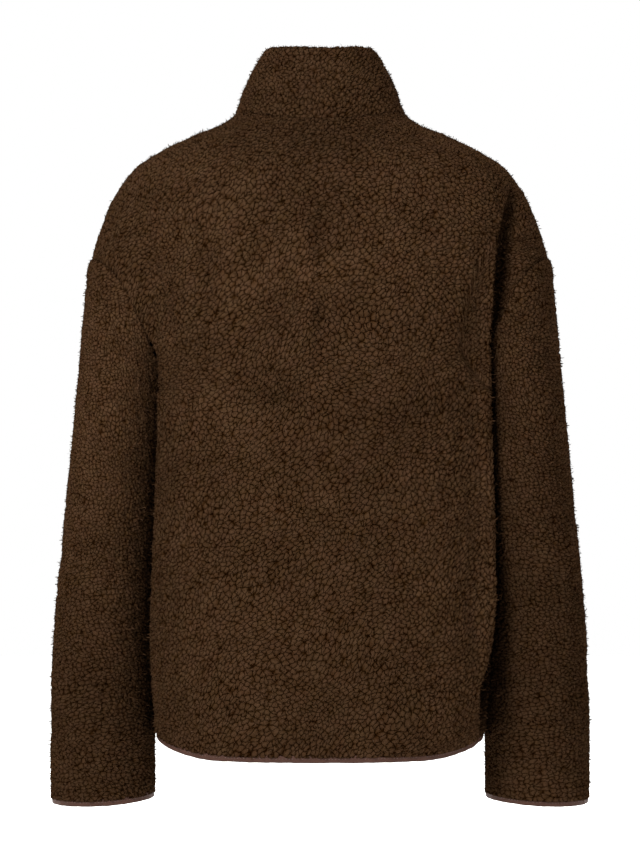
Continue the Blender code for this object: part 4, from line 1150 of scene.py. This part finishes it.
def stitches(name, path, out, length, gap, radius=0.00028):
    """A row of stitches along a path, lifted along out: one for each length and gap."""
    run = run_along(path)
    at = np.arange(gap, run[-1] - length, length + gap) + length / 2
    places, outs = read_along(at, run, path), read_along(at, run, out)
    along = unit(read_along(at + length / 3, run, path) - read_along(at - length / 3, run, path))
    outs = unit(outs - along * np.einsum("ij,ij->i", outs, along)[:, None])
    points, faces = stitch_shape(length, radius)
    return repeated(name, points, faces, places, (along, np.cross(outs, along), outs))


def front_line():
    """Points up the centre front, hem to collar top, with the directions and the run at each.

    The directions are the line's slope, smoothed with a short bell curve, and a right angle to
    it outwards.
    """
    grid = half_panel(1, 1)[0]
    shares, drawn_in = np.array(COLLAR_ROWS)[:ZIP_ROWS_ON_COLLAR].T
    collar_edge = collar_point(np.full(ZIP_ROWS_ON_COLLAR, ZIP_TURN), shares, drawn_in)
    line = np.concatenate([grid[:-1, 0], collar_edge])
    line[:, 0] = 0.0
    run = run_along(line)
    at = np.linspace(0, run[-1], round(run[-1] / 0.002) + 1)
    line = read_along(at, run, line)
    bell = np.exp(-0.5 * (np.arange(-6, 7) / 3.0) ** 2)
    bell /= bell.sum()
    slopes = np.pad(np.gradient(line, at, axis=0), ((6, 6), (0, 0)), mode="edge")
    along = unit(np.stack([np.convolve(slope, bell, "valid") for slope in slopes.T], axis=1))
    outward = np.stack([0 * at, along[:, 2], -along[:, 1]], axis=1)
    return line, outward, along, at


def zip_tape(name, side, line, outward, along, at):
    """Half of the zip's woven tape, with a corded inner edge that the teeth grip.

    The section is a thin rounded strip from the inner edge to the outer one, and at the inner
    edge it swells to a cord. Above the binding the outer edge runs on behind the front, where it
    is sewn in, and sinks back a little with the square of the distance.
    """
    line = np.concatenate([line[:1] - along[:1] * TAPE_BELOW_HEM, line])
    outward = np.concatenate([outward[:1], outward])
    sewn_in = soft_step(np.concatenate([[-TAPE_BELOW_HEM], at]), 0.0, 0.006)[:, None]
    turn = np.linspace(0, 2 * math.pi, 24, endpoint=False)
    middle, half = (TAPE_OUTER + TAPE_INNER) / 2, (TAPE_OUTER - TAPE_INNER) / 2
    across = middle - half * signed_power(np.cos(turn), 0.55)
    swell = np.exp(-(((across - 0.0012) / 0.0007) ** 2))
    deep = 0.00042 * signed_power(np.sin(turn), 0.6) * (1 + 0.5 * swell)
    deep -= (TAPE_BACK_DEPTH + TAPE_FACE_DEPTH) / 2
    spread = sewn_in * soft_step(across, 0.7 * TAPE_OUTER, TAPE_OUTER)
    profile = np.stack([across + TAPE_SEWN_IN * spread, deep - 0.0006 * spread**2], axis=-1)
    sideways = np.tile([float(side), 0.0, 0.0], (len(line), 1))
    return swept(name, line, sideways, outward, profile, False)


def tooth_shape():
    """A tooth: a rounded block from the tape's cord to past the middle, with a waist and a head.

    Rings across it; each ring is a circle's cosine and sine to the power 0.55, which makes a
    rounded rectangle.
    """
    turn = np.linspace(0, 2 * math.pi, 8, endpoint=False) + math.pi / 8
    across = np.array([-0.75, -0.55, 0.10, 0.75, 2.30, 2.55]) * MM
    half_along = np.array([0.42, 0.60, 0.62, 0.46, 0.80, 0.62]) * MM
    half_deep = np.array([0.45, 0.68, 0.72, 0.74, 0.80, 0.62]) * MM
    rings = np.stack(
        [
            across[:, None] + 0 * turn[None, :],
            half_deep[:, None] * signed_power(np.sin(turn), 0.55)[None, :],
            half_along[:, None] * signed_power(np.cos(turn), 0.55)[None, :],
        ],
        axis=-1,
    )
    return capped_rings(rings)


def zip_teeth(name, side, line, outward, along, at, shift):
    """A row of teeth on one tape, from the box at the hem to inside the slider."""
    stops = np.arange(FIRST_TOOTH + shift * TOOTH_PITCH, at[-1] - LAST_TOOTH, TOOTH_PITCH)
    centre, out, way = (read_along(stops, at, part) for part in (line, outward, along))
    centre = centre - out * TOOTH_DEPTH
    points, faces = tooth_shape()
    if side < 0:
        faces = faces[:, ::-1]
    sideways = np.tile([float(side), 0.0, 0.0], (len(stops), 1))
    return repeated(name, points, faces, centre, (sideways, out, way))


def cells_mesh(cuts, filled):
    """The surface round the filled cells of a box that is cut up along its three directions."""
    shape = [len(cut) for cut in cuts]
    corners = np.stack(np.meshgrid(*cuts, indexing="ij"), axis=-1).reshape(-1, 3)
    index = np.arange(len(corners)).reshape(shape)
    padded = np.pad(filled, 1)
    faces = []
    for axis in range(3):
        first, second = [other for other in (0, 1, 2) if other != axis]
        for step in (-1, 1):
            open_side = filled & ~np.roll(padded, -step, axis=axis)[1:-1, 1:-1, 1:-1]
            low = np.argwhere(open_side)
            low[:, axis] += step > 0
            loop = []
            for one, two in ((0, 0), (1, 0), (1, 1), (0, 1)):
                corner = low.copy()
                corner[:, first] += one
                corner[:, second] += two
                loop.append(index[tuple(corner.T)])
            loop = np.stack(loop, axis=-1)
            faces.append(loop if (step > 0) == (axis != 1) else loop[:, ::-1])
    faces = np.concatenate(faces)
    used, faces = np.unique(faces, return_inverse=True)
    return corners[used], faces.reshape(-1, 4)


def zip_seat(line, outward, at):
    """The middle of the slider on the zip's line, with the line's directions there."""
    place = at[-1] - SLIDER_BELOW_TOP
    centre, out = read_along(place, at, line), unit(read_along(place, at, outward))
    return centre, out, np.array([0.0, -out[2], out[1]])


def seated(points, seat):
    """Moves points from the slider's own directions (across, outward, along) to its place."""
    centre, outward, along = seat
    return centre + points @ np.array([[1.0, 0.0, 0.0], outward, along])


def bevelled(name, points, quads, width):
    """A hard piece with its edges rounded off."""
    made = placed(name, mesh_of(name, points, quads))
    bevel = made.modifiers.new("rounded", "BEVEL")
    bevel.width = width
    bevel.segments = 3
    bevel.limit_method = "ANGLE"
    bevel.harden_normals = False
    return made


def slider_body(seat):
    """The slider: two plates with side walls and a wedge between them, and the bridge in front."""
    cuts = (
        np.array([-4.0, -3.0, -0.8, 0.8, 3.0, 4.0]) * MM,
        np.array([-6.8, -5.5, -3.8, -1.9, -0.5, 1.9, 2.8]) * MM,
        np.array([-5.5, -3.6, -2.4, 3.2, 4.4, 5.5]) * MM,
    )
    filled = np.zeros((5, 6, 5), bool)
    filled[:, 0] = True
    filled[:, 3] = True
    filled[[0, -1], 2] = True
    filled[2, 1:3, 3:] = True
    filled[2, 5, 1:4] = True
    filled[2, 4, [1, 3]] = True
    points, quads = cells_mesh(cuts, filled)
    points[:, 0] *= 1 + 0.2 * soft_step(points[:, 2], -0.004, 0.004)
    plates = points[:, 1] < -0.4 * MM
    points[plates, 0] *= 1 - 0.22 * (np.abs(points[plates, 2]) > 5 * MM)
    return bevelled("slider_body", seated(points, seat), quads, 0.00038)


def pull_tab(seat):
    """The pull tab: a flat tab with an eye and a waist, hung by its top bar inside the bridge."""
    cuts = (
        np.array([-2.9, -1.7, 1.7, 2.9]) * MM,
        np.array([-0.5, 0.5]) * MM,
        np.array([-26.0, -24.6, -21.0, -17.0, -12.0, -8.0, -6.4, -0.5, 0.5]) * MM,
    )
    filled = np.ones((3, 1, 8), bool)
    filled[1, 0, 6] = False
    points, quads = cells_mesh(cuts, filled)
    points[:, 0] *= 1 - 0.3 * soft_step(-points[:, 2], 0.0246, 0.0260)
    points[:, 0] *= 1 - 0.16 * np.exp(-(((points[:, 2] + 0.0120) / 0.004) ** 2))
    points = seated(points + [0.0, PULL_AXIS_DEPTH, PULL_AXIS_RISE], seat)
    return bevelled("pull_tab", points, quads, 0.00030)


def zip_ends(line, outward, along, at):
    """The box that joins the tapes at the hem, and a stop above each row of teeth."""
    blocks = (
        ("zip_box", 0.0, (0.0, -4.1), (2.9, 0.95, 5.0)),
        ("zip_stop_right", at[-1] - 0.0012, (1.3, -3.9), (0.8, 0.75, 1.0)),
        ("zip_stop_left", at[-1] - 0.0012, (-1.3, -3.9), (0.8, 0.75, 1.0)),
    )
    made = []
    for name, place, (across, deep), half in blocks:
        seat = [read_along(place, at, part) for part in (line, outward, along)]
        cuts = [np.array([c - h, c + h]) * MM for c, h in zip((across, deep, 0.0), half)]
        points, quads = cells_mesh(cuts, np.ones((1, 1, 1), bool))
        made.append(bevelled(name, seated(points, seat), quads, 0.00035))
    return made


def fibre_tufts(name, outer, count, seed, wrap=False):
    """Loose ends of the pile: short bent ribbons that taper to a point, scattered over a face.

    Each starts at an even random place of the grid, and its three stations go out along the
    normal and bend over sideways: start + normal x rise + sideways x reach.
    """
    rng = np.random.RandomState(seed)
    normal = grid_normals(outer, wrap=wrap)
    rows, columns = outer.shape[:2]
    r = rng.uniform(0, rows - 1.001, count)
    c = rng.uniform(0, columns - (0 if wrap else 1.001), count)
    i, j = r.astype(int), c.astype(int) % columns
    k = (j + 1) % columns
    u, v = (r - i)[:, None], (c - np.floor(c))[:, None]

    def read(grid):
        low = grid[i, j] * (1 - v) + grid[i, k] * v
        high = grid[i + 1, j] * (1 - v) + grid[i + 1, k] * v
        return low * (1 - u) + high * u

    start, out = read(outer), unit(read(normal))
    way = rng.normal(size=(count, 3)) + np.array([0.25, 0.0, -0.55])
    way = unit(way - out * np.einsum("ij,ij->i", way, out)[:, None])
    length = rng.uniform(0.0016, 0.0034, (count, 1))
    length = length * (1 + 0.7 * (rng.uniform(size=(count, 1)) < 0.15))
    lean = rng.uniform(0.30, 1.0, (count, 1))
    wide = np.cross(out, way) * length * rng.uniform(0.06, 0.12, (count, 1))
    root = start - out * 0.0003
    middle = root + (out * (0.75 - 0.4 * lean) + way * 0.45 * lean) * length
    tip = root + (out * (1.0 - 0.75 * lean) + way * 1.05 * lean) * length
    corners = [root - wide, root + wide, middle + 0.8 * wide, middle - 0.8 * wide, tip]
    points = np.stack(corners, axis=1).reshape(-1, 3)
    first = 5 * np.arange(count)[:, None]
    quads, triangles = first + np.array([[0, 1, 2, 3]]), first + np.array([[3, 2, 4]])
    return placed(name, mesh_of(name, points, quads, triangles))


def add(tree, kind, links=(), **settings):
    """A shader node with its settings, and its named sockets given a number or linked."""
    node = tree.nodes.new(kind)
    for key, value in settings.items():
        setattr(node, key, value)
    for socket, value in dict(links).items():
        if isinstance(value, bpy.types.NodeSocket):
            tree.links.new(value, node.inputs[socket])
        else:
            node.inputs[socket].default_value = value
    return node


def material(name, colour, roughness, **sockets):
    """A material with a Principled shader whose uniform values sit on its own sockets."""
    made = bpy.data.materials.new(name)
    made.use_nodes = True
    shader = made.node_tree.nodes["Principled BSDF"]
    shader.inputs["Base Color"].default_value = (*colour, 1.0)
    shader.inputs["Roughness"].default_value = roughness
    for socket, value in sockets.items():
        shader.inputs[socket.replace("_", " ")].default_value = value
    return made, made.node_tree, shader


def ramp(tree, value, stops):
    """A colour ramp through (place, colour) stops."""
    node = add(tree, "ShaderNodeValToRGB", {"Fac": value})
    line = node.color_ramp
    while len(line.elements) < len(stops):
        line.elements.new(0.5)
    for element, (place, colour) in zip(line.elements, stops):
        element.position = place
        element.color = (*colour, 1.0)
    return node.outputs["Color"]


def ranged(tree, value, start, end, kind="LINEAR"):
    """A value carried from one range to another."""
    sockets = {"Value": value, "From Min": start[0], "From Max": start[1]}
    sockets.update({"To Min": end[0], "To Max": end[1]})
    return add(tree, "ShaderNodeMapRange", sockets, interpolation_type=kind).outputs["Result"]


def math_node(tree, operation, first, second):
    """The result of one operation on two values."""
    return add(tree, "ShaderNodeMath", {0: first, 1: second}, operation=operation).outputs[0]


def vector_node(tree, operation, first, second):
    """The result of one operation on two vectors."""
    return add(tree, "ShaderNodeVectorMath", {0: first, 1: second}, operation=operation).outputs[0]


def pile_material():
    """Curly pile: painted shade in its gaps, warm brown on the tops of the curls, each a little
    different.

    Height of a curl: 1 - 0.9 distance squared from its middle, times a soft step of how much nearer
    that middle is than the next one, as in the pile's own shape, and a slant that lifts one side.
    """
    made, tree, shader = material("teddy_pile", (0.05, 0.028, 0.015), 0.95, Specular_IOR_Level=0.0)
    object_place = add(tree, "ShaderNodeTexCoord").outputs["Object"]
    place = add(tree, "ShaderNodeAttribute", attribute_name="grain").outputs["Vector"]
    # third number of the attribute: the painted light and shade laid on each piece
    painted_shading = add(tree, "ShaderNodeSeparateXYZ", {"Vector": place}).outputs["Z"]
    crinkle = add(tree, "ShaderNodeTexNoise", {"Vector": place, "Scale": 1.2, "Detail": 3.0})
    moved = vector_node(tree, "SUBTRACT", crinkle.outputs["Color"], (0.5, 0.5, 0.5))
    moved = vector_node(tree, "MULTIPLY", moved, (1.15, 1.15, 1.15))
    place = vector_node(tree, "ADD", place, moved)
    cells = {"Vector": place, "Scale": 1.0, "Randomness": CELL_RANDOMNESS}
    first = add(tree, "ShaderNodeTexVoronoi", cells, feature="F1", voronoi_dimensions="2D")
    second = add(tree, "ShaderNodeTexVoronoi", cells, feature="F2", voronoi_dimensions="2D")
    cells["Scale"] = 1.9
    small = add(tree, "ShaderNodeTexVoronoi", cells, feature="SMOOTH_F1", voronoi_dimensions="2D")
    own = add(tree, "ShaderNodeSeparateColor", {"Color": first.outputs["Color"]})
    squared = math_node(tree, "POWER", first.outputs["Distance"], 2.0)
    dome = math_node(tree, "SUBTRACT", 1.0, math_node(tree, "MULTIPLY", squared, 0.9))
    apart = math_node(tree, "SUBTRACT", second.outputs["Distance"], first.outputs["Distance"])
    gap = ranged(tree, apart, (-0.06, 0.20), (0.0, 1.0), "SMOOTHSTEP")
    little = ranged(tree, small.outputs["Distance"], (0.0, 0.7), (1.0, 0.0))
    fine = {"Vector": object_place, "Scale": 900.0, "Detail": 2.0, "Roughness": 0.6}
    fibre = add(tree, "ShaderNodeTexNoise", fine)
    deeper = add(tree, "ShaderNodeTexNoise", {"Vector": place, "Scale": 0.33, "Detail": 2.0})
    off = vector_node(tree, "SUBTRACT", first.outputs["Position"], place)
    off = add(tree, "ShaderNodeSeparateXYZ", {"Vector": off}).outputs["Y"]
    slant = math_node(tree, "MULTIPLY", off, 0.30)
    height = math_node(tree, "MULTIPLY", dome, gap)
    little = math_node(tree, "MULTIPLY", little, 0.24)
    height = math_node(tree, "ADD", math_node(tree, "MULTIPLY", height, 0.76), little)
    depth = ranged(tree, deeper.outputs["Fac"], (0.35, 0.65), (0.10, -0.10))
    shade = math_node(tree, "ADD", height, depth)
    finest = math_node(tree, "SUBTRACT", fibre.outputs["Fac"], 0.5)
    shade = math_node(tree, "ADD", shade, math_node(tree, "MULTIPLY", finest, 0.30))
    # painted shade: low places between the curls get the dark end of the ramp
    colour = ramp(tree, shade, PILE_TONE_AND_GAP_SHADE)
    patch = add(tree, "ShaderNodeTexNoise", {"Vector": object_place, "Scale": 22.0, "Detail": 2.0})
    worn = ranged(tree, patch.outputs["Fac"], (0.3, 0.7), (0.90, 1.10))
    each = ranged(tree, own.outputs["Red"], (0.0, 1.0), (0.92, 1.08))
    # random tone of patches and curls, times the painted light and shade
    tone_and_painted_shade = math_node(tree, "MULTIPLY", math_node(tree, "MULTIPLY", worn, each), painted_shading)
    tint = add(tree, "ShaderNodeTexNoise", {"Vector": place, "Scale": 0.30, "Detail": 2.0})
    hue = ranged(tree, tint.outputs["Fac"], (0.3, 0.7), (0.496, 0.504))
    varied = {"Color": colour, "Value": tone_and_painted_shade, "Hue": hue}
    varied = add(tree, "ShaderNodeHueSaturation", varied)
    tree.links.new(varied.outputs["Color"], shader.inputs["Base Color"])
    raised = math_node(tree, "ADD", height, math_node(tree, "MULTIPLY", fibre.outputs["Fac"], 0.30))
    raised = math_node(tree, "ADD", raised, slant)
    bump = add(tree, "ShaderNodeBump", {"Height": raised, "Distance": 0.0034, "Strength": 1.0})
    tree.links.new(bump.outputs["Normal"], shader.inputs["Normal"])
    return made


def backing_material():
    """Knitted backing inside the jacket: fine rows of stitches with a slight unevenness."""
    made, tree, shader = material("knit_backing", (0.040, 0.023, 0.013), 0.88, Specular_IOR_Level=0.1)
    place = add(tree, "ShaderNodeTexCoord").outputs["Object"]
    stitch = add(tree, "ShaderNodeTexVoronoi", {"Vector": place, "Scale": 650.0}, feature="F1")
    cloud = add(tree, "ShaderNodeTexNoise", {"Vector": place, "Scale": 60.0, "Detail": 3.0})
    mixed = math_node(tree, "MULTIPLY", stitch.outputs["Distance"], cloud.outputs["Fac"])
    colour = ramp(tree, mixed, [(0.0, (0.052, 0.030, 0.017)), (0.6, (0.026, 0.014, 0.008))])
    tree.links.new(colour, shader.inputs["Base Color"])
    raised = {"Height": stitch.outputs["Distance"], "Distance": 0.0004, "Strength": 0.6}
    bump = add(tree, "ShaderNodeBump", raised, invert=True)
    tree.links.new(bump.outputs["Normal"], shader.inputs["Normal"])
    return made


def fibre_material():
    """Loose fibre ends: the pile's brown, uneven from one to the next."""
    made, tree, shader = material("teddy_fibres", (0.028, 0.014, 0.007), 0.9, Specular_IOR_Level=0.0)
    place = add(tree, "ShaderNodeTexCoord").outputs["Object"]
    mixed = add(tree, "ShaderNodeTexNoise", {"Vector": place, "Scale": 300.0, "Detail": 2.0})
    browns = (0.014, 0.0062, 0.0024), (0.025, 0.0125, 0.006), (0.036, 0.020, 0.0115)
    colour = ramp(tree, mixed.outputs["Fac"], list(zip((0.30, 0.55, 0.75), browns)))
    tree.links.new(colour, shader.inputs["Base Color"])
    return made


def binding_material():
    """Elastic binding: fine crosswise ribs, a smooth reddish brown with a slight sheen."""
    made, tree, shader = material("elastic_binding", (0.035, 0.015, 0.010), 0.62, Specular_IOR_Level=0.10)
    shader.inputs["Sheen Weight"].default_value = 0.03
    shader.inputs["Sheen Tint"].default_value = (0.55, 0.33, 0.24, 1.0)
    run = add(tree, "ShaderNodeUVMap", uv_map="UVMap").outputs["UV"]
    ribs = {"Vector": run, "Scale": 240.0, "Distortion": 0.6, "Detail": 1.0}
    ribs = add(tree, "ShaderNodeTexWave", ribs, wave_type="BANDS", bands_direction="X")
    rows = {"Vector": run, "Scale": 300.0, "Distortion": 0.3}
    rows = add(tree, "ShaderNodeTexWave", rows, wave_type="BANDS", bands_direction="Y")
    weave = math_node(tree, "MULTIPLY", ribs.outputs["Fac"], rows.outputs["Fac"])
    cloud = add(tree, "ShaderNodeTexNoise", {"Vector": run, "Scale": 90.0, "Detail": 3.0})
    cloudy = math_node(tree, "MULTIPLY", cloud.outputs["Fac"], 0.6)
    tone = math_node(tree, "ADD", math_node(tree, "MULTIPLY", weave, 0.4), cloudy)
    browns = (0.020, 0.0078, 0.0048), (0.034, 0.0140, 0.0090), (0.046, 0.0200, 0.0132)
    colour = ramp(tree, tone, list(zip((0.15, 0.5, 0.85), browns)))
    tree.links.new(colour, shader.inputs["Base Color"])
    bump = add(tree, "ShaderNodeBump", {"Height": weave, "Distance": 0.00025, "Strength": 0.7})
    tree.links.new(bump.outputs["Normal"], shader.inputs["Normal"])
    return made


def tape_material():
    """Woven zip tape: narrow slanted ribs, dark brown."""
    made, tree, shader = material("zip_tape_weave", (0.020, 0.010, 0.006), 0.75, Specular_IOR_Level=0.2)
    run = add(tree, "ShaderNodeUVMap", uv_map="UVMap").outputs["UV"]
    slant = add(tree, "ShaderNodeMapping", {"Vector": run, "Rotation": (0.0, 0.0, 0.9)})
    ribs = {"Vector": slant.outputs[0], "Scale": 330.0, "Distortion": 0.4, "Detail": 1.0}
    ribs = add(tree, "ShaderNodeTexWave", ribs, wave_type="BANDS", bands_direction="X")
    cloud = add(tree, "ShaderNodeTexNoise", {"Vector": run, "Scale": 120.0, "Detail": 3.0})
    tone = math_node(tree, "MULTIPLY", ribs.outputs["Fac"], cloud.outputs["Fac"])
    colour = ramp(tree, tone, [(0.0, (0.010, 0.0046, 0.0026)), (0.6, (0.034, 0.0180, 0.0110))])
    tree.links.new(colour, shader.inputs["Base Color"])
    raised = {"Height": ribs.outputs["Fac"], "Distance": 0.0002, "Strength": 0.8}
    bump = add(tree, "ShaderNodeBump", raised)
    tree.links.new(bump.outputs["Normal"], shader.inputs["Normal"])
    return made


def metal_material(name, colour, roughness, metallic):
    """Painted metal: satin, with fine wear and a slightly uneven gloss."""
    made, tree, shader = material(name, colour, roughness)
    shader.inputs["Metallic"].default_value = metallic
    place = add(tree, "ShaderNodeTexCoord").outputs["Object"]
    cloud = {"Vector": place, "Scale": 420.0, "Detail": 4.0, "Roughness": 0.6}
    cloud = add(tree, "ShaderNodeTexNoise", cloud).outputs["Fac"]
    dark = tuple(0.72 * c for c in colour)
    pale = tuple(1.25 * c for c in colour)
    painted = ramp(tree, cloud, [(0.35, dark), (0.55, colour), (0.75, pale)])
    tree.links.new(painted, shader.inputs["Base Color"])
    gloss = ranged(tree, cloud, (0.3, 0.7), (roughness - 0.07, roughness + 0.09))
    tree.links.new(gloss, shader.inputs["Roughness"])
    bump = add(tree, "ShaderNodeBump", {"Height": cloud, "Distance": 0.00004, "Strength": 0.5})
    tree.links.new(bump.outputs["Normal"], shader.inputs["Normal"])
    return made


def thread_material():
    """Sewing thread: two plies twisted together, reddish brown."""
    made, tree, shader = material("sewing_thread", (0.050, 0.023, 0.015), 0.6)
    place = add(tree, "ShaderNodeTexCoord").outputs["Object"]
    ply = add(tree, "ShaderNodeTexNoise", {"Vector": place, "Scale": 2200.0, "Detail": 1.0})
    browns = (0.026, 0.0120, 0.0075), (0.068, 0.0330, 0.0220)
    colour = ramp(tree, ply.outputs["Fac"], list(zip((0.35, 0.65), browns)))
    tree.links.new(colour, shader.inputs["Base Color"])
    return made


def light(name, place, aim, size, power, colour=(1.0, 1.0, 1.0)):
    """A square soft light at a place, turned to shine at a point."""
    data = bpy.data.lights.new(name, "AREA")
    data.size = size
    data.energy = power
    data.color = colour
    lamp = placed(name, data)
    lamp.location = place
    lamp.rotation_euler = (Vector(aim) - Vector(place)).to_track_quat("-Z", "Y").to_euler()


def studio():
    """White surroundings, soft lights round the photograph's side, a pale floor and the camera."""
    scene = bpy.context.scene
    scene.view_settings.view_transform = "Standard"
    scene.view_settings.look = "None"
    scene.view_settings.exposure = 0.0
    scene.view_settings.gamma = 1.0
    world = bpy.data.worlds.new("studio")
    world.use_nodes = True
    back = world.node_tree.nodes["Background"]
    back.inputs["Color"].default_value = (1.0, 1.0, 1.0, 1.0)
    back.inputs["Strength"].default_value = 1.0
    scene.world = world
    light("key", (-0.95, -1.6, 1.25), (0, 0, -0.15), 0.8, 124)
    light("fill", (1.9, -2.2, 0.6), (0, 0, -0.35), 1.5, 10)
    light("front_key", (1.5, 2.3, 1.3), (0, 0.1, -0.2), 1.2, 170)
    light("front_fill", (-1.9, 2.0, 0.3), (0, 0.1, -0.35), 1.5, 50)
    corners = np.array([(-6.0, -6.0, -1.0), (6.0, -6.0, -1.0), (6.0, 6.0, -1.0), (-6.0, 6.0, -1.0)])
    floor = placed("floor", mesh_of("floor", corners, np.array([[0, 1, 2, 3]])))
    pale, _, shader = material("pale_floor", (0.93, 0.93, 0.92), 0.9)
    shader.inputs["Emission Color"].default_value = (1.0, 1.0, 1.0, 1.0)
    shader.inputs["Emission Strength"].default_value = 0.35
    floor.data.materials.append(pale)
    data = bpy.data.cameras.new("camera")
    data.lens = 126.6
    data.sensor_width = 36.0
    data.sensor_fit = "AUTO"
    camera = placed("camera", data)
    camera.location = (0.0, -3.0, -0.3085)
    camera.rotation_euler = (math.pi / 2, 0.0, 0.0)
    scene.camera = camera


def dress(piece, finish, slot, *nodes, body="jacket"):
    """Gives a piece its finish and its body, and hides the solids that it stands for. The slot is not
    used.
    """
    if not piece.data.materials:
        piece.data.materials.append(finish)
    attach(piece, body)
    if nodes:
        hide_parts(*nodes)
    return piece


def fleece_pieces():
    """The six cloth pieces with their loose fibres.

    Returns the grids that the trims follow, and each cloth's piece, cut, flat area and the
    separate pieces on it.
    """
    pile, backing, fibres = pile_material(), backing_material(), fibre_material()
    pieces = (
        (back_cloth(), "back", (0.62, 0.68), 0.303, 36000),
        (front_cloth(1, "front_right_pile", 21), "front_right", (0.31, 0.68), 0.143, 18000),
        (front_cloth(-1, "front_left_pile", 22), "front_left", (0.31, 0.68), 0.143, 18000),
        (sleeve_cloth(1, "sleeve_right_pile", 41), "sleeve_right", (0.40, 0.56), 0.160, 22000),
        (sleeve_cloth(-1, "sleeve_left_pile", 42), "sleeve_left", (0.40, 0.56), 0.160, 22000),
        (collar_cloth(), "collar", (0.50, 0.15), 0.070, 14000),
    )
    grids, cloths = {}, {}
    for number, ((piece, base, outer), node, flat, area, count) in enumerate(pieces):
        piece.data.materials.append(pile)
        piece.data.materials.append(backing if node != "collar" else pile)
        dress(piece, pile, "fleece", node)
        count = count // 1
        tufts = fibre_tufts(f"{node}_fibres", outer, count, 60 + number, wrap="sleeve" in node)
        dress(tufts, fibres, "fleece")
        grids[node] = (base, outer)
        cloths[node] = (piece, flat, area, [tufts])
    return grids, cloths


def trims(grids, cloths):
    """The bindings, the zip and the sewing. What is sewn to a front goes into that cloth's list."""
    elastic, tape, thread = binding_material(), tape_material(), thread_material()
    metal = metal_material("zip_metal_painted", (0.042, 0.026, 0.019), 0.40, 0.45)
    right, back, left = (grids[node][0] for node in ("front_right", "back", "front_left"))
    path = np.concatenate([right[0, ::-1], back[0, ::-1][1:-1], left[0, ::-1]])
    inward = [-level(grid_normals(part)[0, ::-1]) for part in (right, back, left)]
    inward = np.concatenate([inward[0], inward[1][1:-1], inward[2]])
    edges = [("hem_band", path, inward, False, "hem_binding", 71)]
    for name in ("right", "left"):
        ring = grids[f"sleeve_{name}"][0]
        inward = -level(grid_normals(ring, wrap=True)[0])
        edges.append((f"cuff_band_{name}", ring[0], inward, True, f"cuff_binding_{name}", 75))
    for name, path, inward, closed, node, seed in edges:
        band, (path, inward, at) = binding_band(name, path, inward, closed, seed)
        dress(band, elastic, "binding", node)
        row = path + inward * (BINDING_INSET - 0.00002) - np.array([0.0, 0.0, 0.0024])
        sewing = stitches(f"{name}_stitches", row, -inward, 0.0021, 0.0011)
        sewing = dress(sewing, thread, "binding")
    line, outward, along, at = front_line()
    for name, side, shift in (("right", 1, 0.0), ("left", -1, 0.5)):
        strip = zip_tape(f"tape_{name}", side, line, outward, along, at)
        strip = dress(strip, tape, "zip_tape", f"zip_tape_{name}")
        teeth = zip_teeth(f"teeth_{name}", side, line, outward, along, at, shift)
        teeth = dress(teeth, metal, "zip_metal")
        base = grids[f"front_{name}"][0]
        column = -1 - round(SEWN_IN / SPACING) if side > 0 else round(SEWN_IN / SPACING)
        out = grid_normals(base)[:, column]
        row = base[:, column] - out * 0.0022
        sewing = stitches(f"front_{name}_stitches", row, out, 0.0026, 0.0012, 0.00032)
        cloths[f"front_{name}"][3].extend([strip, teeth, dress(sewing, thread, "fleece")])
    for piece in zip_ends(line, outward, along, at):
        dress(piece, metal, "zip_metal")
    seat = zip_seat(line, outward, at)
    dress(slider_body(seat), metal, "zip_metal", "zip_slider")
    dress(pull_tab(seat), metal, "zip_metal", "zip_pull", body="pull")


def main():
    grids, cloths = fleece_pieces()
    trims(grids, cloths)
    studio()


main()
